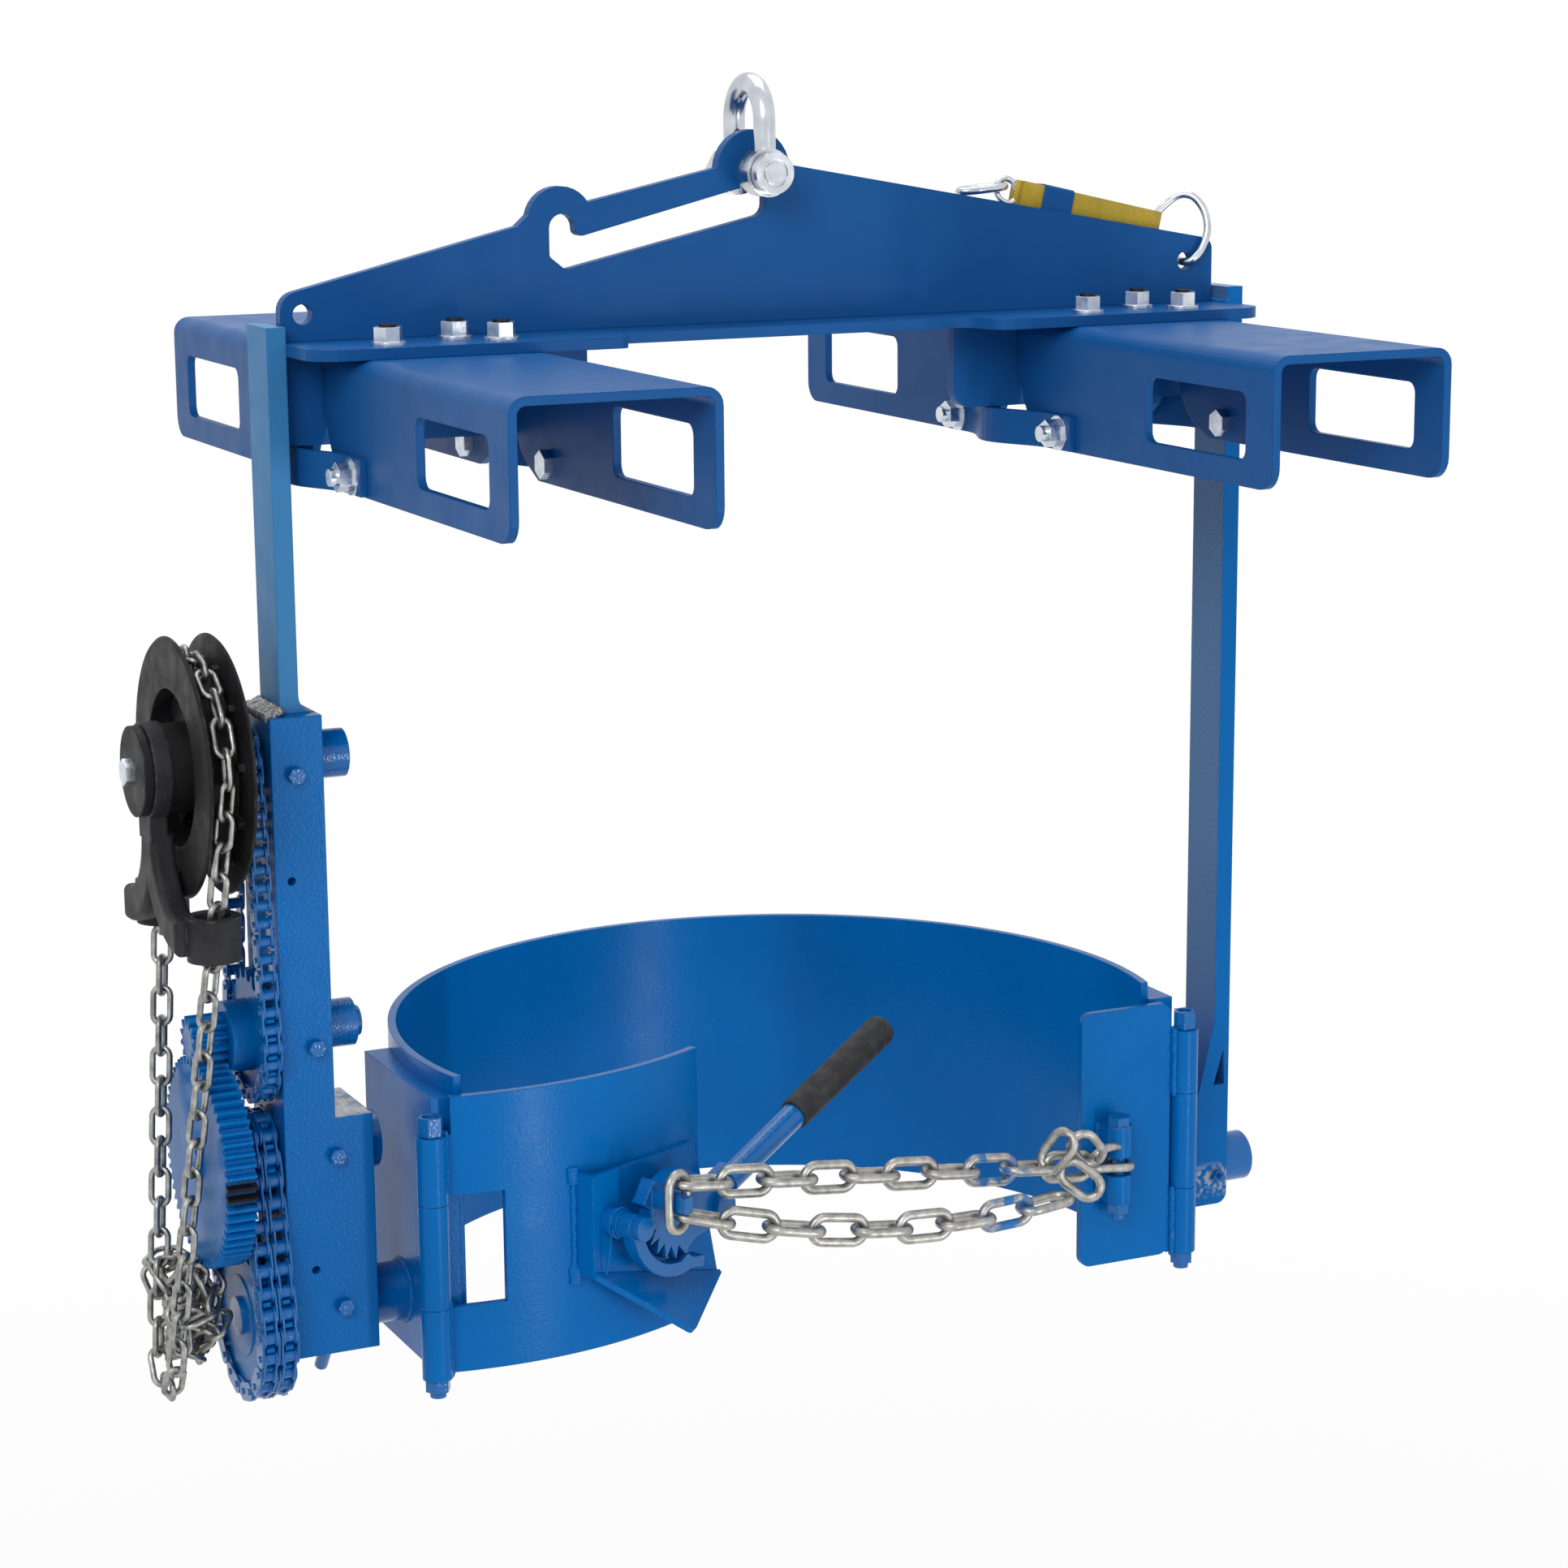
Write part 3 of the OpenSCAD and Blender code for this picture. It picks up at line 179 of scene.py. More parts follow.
class Shader(Nodes):
    """Grows the node tree of one material around a Principled shader."""

    def __init__(self, name: str) -> None:
        """Start a material.

        Args:
            name: Name of the material.
        """
        self.material = bpy.data.materials.new(name)
        self.material.use_nodes = True
        super().__init__(self.material.node_tree)
        self.bsdf = self.add("ShaderNodeBsdfPrincipled")
        self.add("ShaderNodeOutputMaterial", {"Surface": self.bsdf.outputs[0]})
        self.place = self.add("ShaderNodeTexCoord").outputs["Object"]

    def set(self, **values: Any) -> None:
        """Set or join the shader's own inputs, with _ for a space in the name."""
        for key, value in values.items():
            self.feed(value, self.bsdf.inputs[key.replace("_", " ")])

    def finish(self, colour: Socket, rough: Socket, normal: Socket) -> Material:
        """Join colour, roughness and normal to the shader and give its material."""
        self.set(Base_Color=colour, Roughness=rough, Normal=normal)
        return self.material

    def lay(self, mask: Socket, colour: Any) -> None:
        """Lay a colour over the base colour where a mask says."""
        under = self.bsdf.inputs["Base Color"].links[0].from_socket
        self.set(Base_Color=self.mix(mask, under, colour))

    def part(self, vector: Socket, axis: str) -> Socket:
        """One part of a vector: X, Y or Z."""
        return self.add("ShaderNodeSeparateXYZ", {0: vector}).outputs[axis]

    def axis(self, name: str) -> Socket:
        """One of the object's coordinates, in metres."""
        return self.part(self.place, name)

    def flat(self) -> Socket:
        """The true normal of a face."""
        return self.add("ShaderNodeNewGeometry").outputs["True Normal"]

    def facing(self, axis: str, low: float, high: float) -> Socket:
        """Mask of the faces that look along an axis: nought at low and one at high."""
        return self.spread(self.part(self.flat(), axis), low, high)

    def window(self, value: Socket, middle: float, half: float, soft: float) -> Socket:
        """One within half of a middle value and nought outside it, with a soft edge."""
        gap = self.math("ABSOLUTE", self.math("SUBTRACT", value, middle), 0.0)
        return self.spread(gap, half + soft, half - soft)

    def stretched(self, scale: Point) -> Socket:
        """Object coordinates scaled by a factor for each axis."""
        return self.add("ShaderNodeMapping", {"Scale": scale, "Vector": self.place}).outputs[0]

    def noise(self, scale: float, detail: float, place: Socket | None = None) -> Socket:
        """A noise field of cells per metre and finer layers, about 0 to 1."""
        inputs = {"Scale": scale, "Detail": detail, "Vector": place or self.place}
        return self.add("ShaderNodeTexNoise", inputs).outputs["Fac"]

    def mix(self, share: Socket, a: Any, b: Any) -> Socket:
        """Mix two colours.

        Args:
            share: Share of the second colour.
            a: A colour or a socket.
            b: A colour or a socket.

        Returns:
            The mixed colour.
        """
        first, second = ((*c, 1.0) if isinstance(c, tuple) else c for c in (a, b))
        inputs = {"Factor": share, 6: first, 7: second}
        return self.add("ShaderNodeMix", inputs, data_type="RGBA").outputs[2]

    def edges(self, radius: float) -> tuple[Socket, Socket]:
        """Rounded edges.

        Args:
            radius: Radius of the rounding, in metres.

        Returns:
            The rounded normal and a mask of the edges.
        """
        bevel = self.add("ShaderNodeBevel", {"Radius": radius}, samples=BEVEL_SAMPLES).outputs[0]
        dot = self.add("ShaderNodeVectorMath", {0: bevel, 1: self.flat()}, operation="DOT_PRODUCT")
        return bevel, self.spread(dot.outputs["Value"], *EDGE_RANGE)

    def bump(self, height: Socket, depth: float, strength: float, under: Socket | None = None) -> Socket:
        """Raise the surface by a height field.

        Args:
            height: The height, 0 to 1.
            depth: Height in metres that 1 stands for.
            strength: Share of the effect.
            under: Normal that it is laid on.

        Returns:
            The bent normal.
        """
        inputs = {"Strength": strength, "Distance": depth, "Height": height}
        if under is not None:
            inputs["Normal"] = under
        return self.add("ShaderNodeBump", inputs).outputs[0]


def tint(colour: Colour, factor: float) -> Colour:
    """A colour made lighter or darker, at most white."""
    return tuple(min(1.0, c * factor) for c in colour)


@dataclass(frozen=True)
class PowderCoat:
    """Blue powder coat with a fine orange peel, worn thin on its edges."""

    name: str
    colour: Colour
    roughness: float
    peel: float
    wear: float
    gloss: float
    bare: Colour = (0.30, 0.31, 0.33)
    corner: float = 1.4 * MM
    cloud_scale: float = 7.0
    cloud_tints: Pair = (0.92, 1.08)
    chip_scale: float = 160.0
    chip_range: Pair = (0.58, 0.66)
    sheen_scale: float = 38.0
    sheen_ends: Pair = (-0.04, 0.06)
    peel_scale: float = 520.0
    peel_depth: float = 0.5 * MM

    def material(self) -> Material:
        """Build the paint."""
        return self.coat(self.name).material

    def coat(self, name: str) -> Shader:
        """Build the paint under a name of its own, for more to be laid on it.

        Args:
            name: Name of the material.

        Returns:
            The shader of the painted material.
        """
        s = Shader(name)
        dark, light = (tint(self.colour, factor) for factor in self.cloud_tints)
        paint = s.mix(s.spread(s.noise(self.cloud_scale, 4.0), *CLOUDS), dark, light)
        normal, edge = s.edges(self.corner)
        chips = s.times(s.spread(s.noise(self.chip_scale, 5.0), *self.chip_range), edge)
        paint = s.mix(s.times(chips, self.wear), paint, self.bare)
        ends = tuple(self.roughness + more for more in self.sheen_ends)
        rough = s.spread(s.noise(self.sheen_scale, 3.0), *CLOUDS, ends)
        s.set(Specular_IOR_Level=self.gloss)
        s.finish(paint, rough, s.bump(s.noise(self.peel_scale, 1.0), self.peel_depth, self.peel, normal))
        return s


@dataclass(frozen=True)
class Metal:
    """Bare or plated metal with cloudy tone and fine scratches; its darker clouds are partly the metal's
    own tone and partly painted dark reflection.
    """

    name: str
    colour: Colour
    roughness: float
    clouds: float
    tone_and_reflection_contrast: float
    scratch: float = 0.12
    grain: float = 700.0
    cloud_range: Pair = (0.32, 0.68)
    rough_finer: float = 2.2
    rough_ends: Pair = (-0.07, 0.10)
    scratch_depth: float = 0.2 * MM
    scratch_stretch: Point = (1.0, 1.0, 0.25)
    corner: float = 0.6 * MM

    def material(self) -> Material:
        """Build the metal.

        Returns:
            The material.
        """
        s = Shader(self.name)
        # Darker clouds: partly real tone, partly painted dark reflection.
        tone = s.spread(s.noise(self.clouds, 4.0), *self.cloud_range)
        colour = s.mix(tone, tint(self.colour, 1.0 - self.tone_and_reflection_contrast), self.colour)
        ends = tuple(self.roughness + more for more in self.rough_ends)
        rough = s.spread(s.noise(self.clouds * self.rough_finer, 3.0), *CLOUDS, ends)
        normal, _ = s.edges(self.corner)
        lines = s.noise(self.grain, 2.0, s.stretched(self.scratch_stretch))
        s.set(Metallic=1.0)
        return s.finish(colour, rough, s.bump(lines, self.scratch_depth, self.scratch, normal))


@dataclass(frozen=True)
class OversprayedChain:
    """Galvanised wire that caught blue paint on a few links."""

    name: str
    metal: Colour
    paint: Colour
    middle: float
    half: float
    soft: float = 12 * MM
    shade: float = 0.62
    cloud_scale: float = 150.0
    cloud_range: Pair = (0.34, 0.66)
    spot_scale: float = 70.0
    spot_range: Pair = (0.44, 0.54)
    bare_metallic: float = 0.95
    rough: Pair = (0.30, 0.50)
    rough_scale: float = 260.0
    pits: float = 0.30
    pit_scale: float = 420.0
    pit_depth: float = 0.35 * MM

    def material(self) -> Material:
        """Build the wire.

        Returns:
            The material.
        """
        s = Shader(self.name)
        tone = s.spread(s.noise(self.cloud_scale, 4.0), *self.cloud_range)
        colour = s.mix(tone, tint(self.metal, self.shade), self.metal)
        near = s.window(s.axis("X"), self.middle, self.half, self.soft)
        mask = s.times(near, s.spread(s.noise(self.spot_scale, 3.0), *self.spot_range))
        colour = s.mix(mask, colour, self.paint)
        s.set(Metallic=s.math("SUBTRACT", self.bare_metallic, mask))
        rough = s.spread(s.noise(self.rough_scale, 3.0), *CLOUDS, self.rough)
        pits = s.bump(s.noise(self.pit_scale, 4.0), self.pit_depth, self.pits)
        return s.finish(colour, rough, pits)


@dataclass(frozen=True)
class CastIron:
    """Black sand casting, rubbed grey on its edges, with grey specks that are partly sand grain and
    partly painted sheen.
    """

    name: str
    colour: Colour = (0.009, 0.009, 0.010)
    rubbed: Colour = (0.11, 0.11, 0.115)
    gloss: float = 0.16
    corner: float = 2.5 * MM
    light: float = 2.4
    cloud_scale: float = 26.0
    cloud_range: Pair = (0.4, 0.75)
    rub_scale: float = 90.0
    rub_range: Pair = (0.46, 0.70)
    sheen_speck_scale: float = 900.0
    sheen_speck_range: Pair = (0.70, 0.76)
    sheen_speck_share: Pair = (0.0, 0.5)
    rough: Pair = (0.42, 0.62)
    rough_scale: float = 60.0
    sand: float = 0.45
    sand_scale: float = 480.0
    sand_depth: float = 0.8 * MM

    def material(self) -> Material:
        """Build the casting.

        Returns:
            The material.
        """
        s = Shader(self.name)
        normal, edge = s.edges(self.corner)
        tone = s.spread(s.noise(self.cloud_scale, 5.0), *self.cloud_range)
        colour = s.mix(tone, self.colour, tint(self.colour, self.light))
        rub = s.times(s.spread(s.noise(self.rub_scale, 5.0), *self.rub_range), edge)
        colour = s.mix(rub, colour, self.rubbed)
        # Grey specks over the faces: partly real sand grain, partly painted sheen.
        sheen_specks = s.spread(s.noise(self.sheen_speck_scale, 2.0), *self.sheen_speck_range, self.sheen_speck_share)
        colour = s.mix(sheen_specks, colour, self.rubbed)
        rough = s.spread(s.noise(self.rough_scale, 3.0), *CLOUDS, self.rough)
        s.set(Specular_IOR_Level=self.gloss)
        sand = s.bump(s.noise(self.sand_scale, 5.0), self.sand_depth, self.sand, normal)
        return s.finish(colour, rough, sand)


@dataclass(frozen=True)
class Rubber:
    """Matte black moulded rubber with a fine grain and dust."""

    name: str
    colour: Colour = (0.012, 0.012, 0.013)
    dusty: Colour = (0.055, 0.055, 0.055)
    dust_scale: float = 110.0
    dust_range: Pair = (0.45, 0.75)
    dust_share: Pair = (0.0, 0.7)
    rough: Pair = (0.55, 0.78)
    rough_scale: float = 70.0
    grain: float = 0.5
    grain_scale: float = 800.0
    grain_depth: float = 0.5 * MM

    def material(self) -> Material:
        """Build the rubber.

        Returns:
            The material.
        """
        s = Shader(self.name)
        dust = s.spread(s.noise(self.dust_scale, 5.0), *self.dust_range, self.dust_share)
        rough = s.spread(s.noise(self.rough_scale, 3.0), *CLOUDS, self.rough)
        grain = s.bump(s.noise(self.grain_scale, 4.0), self.grain_depth, self.grain)
        return s.finish(s.mix(dust, self.colour, self.dusty), rough, grain)


@dataclass(frozen=True)
class Webbing:
    """Woven strap, with the weave on the strap's own UV map in metres."""

    name: str
    colour: Colour
    shade: Colour
    rib: float = 1.6 * MM
    rib_waves: float = 0.314
    slant: float = 0.7
    wobble: float = 0.4
    thread: float = 0.8
    thread_depth: float = 0.7 * MM
    thread_range: Pair = (0.0, 0.5)
    soil_scale: float = 90.0
    soil_range: Pair = (0.52, 0.75)
    soil_share: Pair = (0.0, 0.5)
    rough: Pair = (0.70, 0.88)
    rough_scale: float = 40.0
    sheen: float = 0.25
    sheen_rough: float = 0.5

    def material(self) -> Material:
        """Build the weave.

        Returns:
            The material.
        """
        s = Shader(self.name)
        uv = s.add("ShaderNodeUVMap", uv_map="UVMap").outputs[0]
        weave = []
        for turn in (self.slant, -self.slant):
            place = s.add("ShaderNodeMapping", {"Rotation": (0.0, 0.0, turn), "Vector": uv}).outputs[0]
            inputs = {"Scale": self.rib_waves / self.rib, "Distortion": self.wobble, "Vector": place}
            wave = s.add("ShaderNodeTexWave", inputs, wave_type="BANDS", bands_direction="X")
            weave.append(wave.outputs["Fac"])
        threads = s.times(*weave)
        soil = s.spread(s.noise(self.soil_scale, 4.0), *self.soil_range, self.soil_share)
        colour = s.mix(s.spread(threads, *self.thread_range), self.shade, self.colour)
        rough = s.spread(s.noise(self.rough_scale, 2.0), *CLOUDS, self.rough)
        s.set(Sheen_Weight=self.sheen, Sheen_Roughness=self.sheen_rough)
        ribs = s.bump(threads, self.thread_depth, self.thread)
        return s.finish(s.mix(soil, colour, self.shade), rough, ribs)


@dataclass(frozen=True)
class ColumnPaint:
    """Powder coat with a raw sawn top on the column's step."""

    name: str
    paint: PowderCoat
    step_z: float
    step_half: float = 3 * MM
    step_soft: float = 1 * MM
    raw: Colour = (0.42, 0.43, 0.44)
    raw_shade: float = 0.5
    raw_metallic: float = 0.8
    patch_scale: float = 60.0
    patch_range: Pair = (0.40, 0.52)
    patch_share: Pair = (0.35, 1.0)
    grain_scale: float = 420.0
    grain_stretch: Point = (1.0, 0.15, 1.0)

    def material(self) -> Material:
        """Build the paint with its raw face.

        Returns:
            The material.
        """
        s = self.paint.coat(self.name)
        step = s.window(s.axis("Z"), self.step_z, self.step_half, self.step_soft)
        top = s.times(s.facing("Z", *FACING_ALONG), step)
        bare = s.spread(s.noise(self.patch_scale, 4.0), *self.patch_range, self.patch_share)
        patchy = s.times(top, bare)
        grain = s.spread(s.noise(self.grain_scale, 3.0, s.stretched(self.grain_stretch)), *CLOUDS)
        s.lay(patchy, s.mix(grain, tint(self.raw, self.raw_shade), self.raw))
        s.set(Metallic=s.times(patchy, self.raw_metallic))
        return s.material


@dataclass(frozen=True)
class ArmPaint:
    """Powder coat with grey specks of painted sheen on the arm's inner side, and a ground patch round
    the nipple.

    A patch is given by how far its middle lies from the nipple, its half width and its soft edge.
    """

    name: str
    paint: PowderCoat
    nipple: Point
    painted_sheen: Colour = (0.115, 0.225, 0.385)
    painted_sheen_heights: Pair = (-0.66, -0.54)
    painted_sheen_scale: float = 700.0
    painted_sheen_range: Pair = (0.30, 0.62)
    painted_sheen_share: Pair = (0.35, 1.0)
    ground: Colour = (0.40, 0.45, 0.50)
    patch_x: Point = (-3 * MM, 20 * MM, 6 * MM)
    patch_z: Point = (-4 * MM, 11 * MM, 5 * MM)
    patch_scale: float = 240.0
    patch_range: Pair = (0.46, 0.58)

    def material(self) -> Material:
        """Build the paint with the painted sheen on its inner side and its patch.

        Returns:
            The material.
        """
        s = self.paint.coat(self.name)
        # Painted sheen: grey specks low on the faces that look against X, standing in for a reflection
        # of the bright surroundings.
        side = s.times(s.facing("X", *FACING_AGAINST), s.spread(s.axis("Z"), *self.painted_sheen_heights))
        sheen_specks = s.spread(s.noise(self.painted_sheen_scale, 3.0), *self.painted_sheen_range, self.painted_sheen_share)
        s.lay(s.times(side, sheen_specks), self.painted_sheen)
        patch = s.facing("Y", *FACING_AGAINST)
        for axis, at, (off, half, soft) in (("X", 0, self.patch_x), ("Z", 2, self.patch_z)):
            patch = s.times(patch, s.window(s.axis(axis), self.nipple[at] + off, half, soft))
        spots = s.spread(s.noise(self.patch_scale, 5.0), *self.patch_range)
        s.lay(s.times(patch, spots), self.ground)
        return s.material


@dataclass(frozen=True)
class GreasyGear:
    """Painted gear with a few teeth black with grease at its front."""

    name: str
    paint: PowderCoat
    centre: Point
    grease: Colour = (0.010, 0.010, 0.012)
    under: float = 4 * MM
    half: float = 9 * MM
    soft: float = 2 * MM
    ragged: float = 3 * MM
    ragged_scale: float = 120.0
    ragged_range: Pair = (0.2, 0.8)
    front: Pair = (-69 * MM, -72 * MM)

    def material(self) -> Material:
        """Build the paint with its greasy teeth.

        Returns:
            The material.
        """
        s = self.paint.coat(self.name)
        ends = (-self.ragged, self.ragged)
        stray = s.spread(s.noise(self.ragged_scale, 3.0), *self.ragged_range, ends)
        z = s.math("ADD", s.axis("Z"), stray)
        teeth = s.window(z, self.centre[2] - self.under, self.half, self.soft)
        s.lay(s.times(teeth, s.spread(s.axis("Y"), *self.front)), self.grease)
        return s.material


class Tree(Nodes):
    """Grows one geometry node tree with named inputs."""

    def __init__(self, name: str, inputs: dict[str, str]) -> None:
        """Start a tree with one geometry in and one out.

        Args:
            name: Name of the tree.
            inputs: Socket type of each named input; Geometry and Material are added.
        """
        super().__init__(bpy.data.node_groups.new(name, "GeometryNodeTree"))
        face = self.tree.interface
        face.new_socket("Geometry", in_out="OUTPUT", socket_type="NodeSocketGeometry")
        kinds = {"Geometry": "NodeSocketGeometry", **inputs, "Material": "NodeSocketMaterial"}
        self.sockets = {
            key: face.new_socket(key, in_out="INPUT", socket_type=kind).identifier
            for key, kind in kinds.items()
        }
        self.source = self.add("NodeGroupInput").outputs

    def follow(self, step: Socket) -> tuple[Socket, Socket]:
        """Points at even steps along the curve.

        Args:
            step: Distance between two points.

        Returns:
            The points, and the rotation that aims X along the curve.
        """
        inputs = {0: self.source["Geometry"], "Length": step}
        points = self.add("GeometryNodeCurveToPoints", inputs, mode="LENGTH").outputs
        aim = self.add("FunctionNodeAlignRotationToVector", {"Vector": points["Tangent"]}, axis="X")
        return points["Points"], aim.outputs[0]

    def close(self, **inputs: Socket) -> None:
        """End the tree: lay instances, realize and smooth them and set the material.

        Args:
            inputs: Points, Instance, Rotation and, where it varies, Scale.
        """
        laid = self.add("GeometryNodeInstanceOnPoints", inputs).outputs[0]
        real = self.add("GeometryNodeRealizeInstances", {0: laid}).outputs[0]
        even = self.add("GeometryNodeSetShadeSmooth", {"Geometry": real}).outputs[0]
        dress = {"Geometry": even, "Material": self.source["Material"]}
        self.add("NodeGroupOutput", {0: self.add("GeometryNodeSetMaterial", dress).outputs[0]})

    def run(self, curve: Thing, values: dict[str, Any], name: str) -> Thing:
        """Run the tree on a curve and keep the result as a plain mesh.

        Args:
            curve: The curve object, which is removed.
            values: Value for each named input.
            name: Name of the finished piece.

        Returns:
            The finished mesh object, at the origin.
        """
        modifier = curve.modifiers.new("grow", "NODES")
        modifier.node_group = self.tree
        for key, value in values.items():
            modifier[self.sockets[key]] = value
        return new_object(name, plain_mesh(curve, name))


def new_object(name: str, data: Any) -> Thing:
    """Link a new object at the origin.

    Args:
        name: Name of the piece.
        data: Its mesh, curve, lamp or camera.

    Returns:
        The object.
    """
    item = bpy.data.objects.new(name, data)
    bpy.context.scene.collection.objects.link(item)
    return item


def plain_mesh(item: Thing, name: str) -> Mesh:
    """Turn an object and its modifiers into a plain mesh.

    Args:
        item: The object, which is removed with its modifiers.
        name: Name of the mesh.

    Returns:
        The mesh.
    """
    graph = bpy.context.evaluated_depsgraph_get()
    mesh = bpy.data.meshes.new_from_object(item.evaluated_get(graph), depsgraph=graph)
    item.modifiers.clear()
    bpy.data.objects.remove(item)
    mesh.name = name
    return mesh


def pour(form: bmesh.types.BMesh, mesh: Mesh) -> Mesh:
    """Put a finished form into a mesh and let go of it.

    Args:
        form: The form.
        mesh: The mesh that takes it.

    Returns:
        The mesh.
    """
    form.to_mesh(mesh)
    form.free()
    return mesh


def curve_of(name: str, paths: Iterable[Sequence[Point]]) -> Thing:
    """Make a curve object with one polyline for each path.

    Args:
        name: Name of the object.
        paths: Points of each polyline, in metres.

    Returns:
        The curve object.
    """
    curve = bpy.data.curves.new(name, "CURVE")
    curve.dimensions = "3D"
    for path in paths:
        spline = curve.splines.new("POLY")
        spline.points.add(len(path) - 1)
        for point, place in zip(spline.points, path):
            point.co = (*place, 1.0)
    return new_object(name, curve)


def smooth(points: Sequence[Point], steps: int = 12) -> list[Point]:
    """A smooth path through a few points.

    Args:
        points: The points.
        steps: Pieces between two points.

    Returns:
        Points of the path.
    """
    knots = [Vector(p) for p in points]
    ends = [knots[0] * 2 - knots[1], *knots, knots[-1] * 2 - knots[-2]]
    path = []
    for a, b, c, d in zip(ends, ends[1:], ends[2:], ends[3:]):
        for i in range(steps):
            t = i / steps
            path.append(tuple(0.5 * (2 * b + (c - a) * t + (2 * a - 5 * b + 4 * c - d) * t * t
                                     + (3 * b - a - 3 * c + d) * t * t * t)))
    path.append(tuple(knots[-1]))
    return path


def loop(centre: Point, a: Point, b: Point, steps: int) -> list[Point]:
    """A closed round about a centre.

    Args:
        centre: Its middle.
        a: Arm at the start.
        b: Arm a quarter turn on.
        steps: Pieces of the round.

    Returns:
        Points of it, with the first again at the end.
    """
    path = []
    for i in range(steps + 1):
        turn = 2 * math.pi * i / steps
        path.append(tuple(
            c + p * math.cos(turn) + q * math.sin(turn) for c, p, q in zip(centre, a, b)
        ))
    return path


def tube(name: str, path: Sequence[Point], radius: float) -> Thing:
    """A round wire along a path, as a plain mesh.

    Args:
        name: Name of the piece.
        path: Points along the middle.
        radius: Radius of the wire.

    Returns:
        The mesh object.
    """
    curve = curve_of(name + "_path", [path])
    curve.data.bevel_depth = radius
    curve.data.bevel_resolution = TUBE_ROUND
    curve.data.use_fill_caps = True
    mesh = plain_mesh(curve, name)
    mesh.shade_smooth()
    return new_object(name, mesh)


def chain_tree() -> Tree:
    """Geometry nodes that lay round-wire links along a curve, every second one turned.

    Returns:
        The tree, with inputs Pitch, Wire, Inside and Material.
    """
    sizes = ("Pitch", "Wire", "Inside")
    t = Tree("chain_links", dict.fromkeys(sizes, "NodeSocketFloat"))
    pitch, wire, inside = (t.source[size] for size in sizes)
    points, aim = t.follow(pitch)
    wide = t.math("ADD", inside, wire)
    oval = t.add(
        "GeometryNodeCurvePrimitiveQuadrilateral",
        {"Width": t.math("ADD", pitch, wire), "Height": wide},
    )
    corner = t.add(
        "GeometryNodeFilletCurve",
        {"Curve": oval.outputs[0], "Count": LINK_CORNERS, "Radius": t.times(wide, LINK_ROUND)},
        mode="POLY",
    )
    section = t.add(
        "GeometryNodeCurvePrimitiveCircle",
        {"Resolution": LINK_SIDES, "Radius": t.times(wire, 0.5)},
        mode="RADIUS",
    )
    link = t.add(
        "GeometryNodeCurveToMesh",
        {"Curve": corner.outputs[0], "Profile Curve": section.outputs[0]},
    )
    odd = t.math("MODULO", t.add("GeometryNodeInputIndex").outputs[0], 2.0)
    turn = t.add(
        "FunctionNodeAxisAngleToRotation",
        {"Axis": (1.0, 0.0, 0.0), "Angle": t.times(odd, math.pi / 2)},
    )
    rolled = t.add("FunctionNodeRotateRotation", {0: aim, 1: turn.outputs[0]}, rotation_space="LOCAL")
    t.close(Points=points, Instance=link.outputs[0], Rotation=rolled.outputs[0])
    return t


def weld_tree() -> Tree:
    """Geometry nodes that lay overlapping weld ripples along a curve.

    Returns:
        The tree, with inputs Step, Radius, Seed and Material.
    """
    kinds = {"Step": "NodeSocketFloat", "Radius": "NodeSocketFloat", "Seed": "NodeSocketInt"}
    t = Tree("weld_ripples", kinds)
    points, aim = t.follow(t.source["Step"])
    ball = t.add(
        "GeometryNodeMeshUVSphere",
        {"Segments": RIPPLE_SIDES, "Rings": RIPPLE_RINGS, "Radius": t.source["Radius"]},
    )
    vary = t.add(
        "FunctionNodeRandomValue",
        {0: RIPPLE_LEAST, 1: RIPPLE_MOST, "Seed": t.source["Seed"]},
        data_type="FLOAT_VECTOR",
    )
    t.close(Points=points, Instance=ball.outputs[0], Rotation=aim, Scale=vary.outputs[0])
    return t


def middle_of(node: str) -> Point:
    """The middle of a solid's box."""
    low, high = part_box(node)
    return tuple((low + high) / 2)


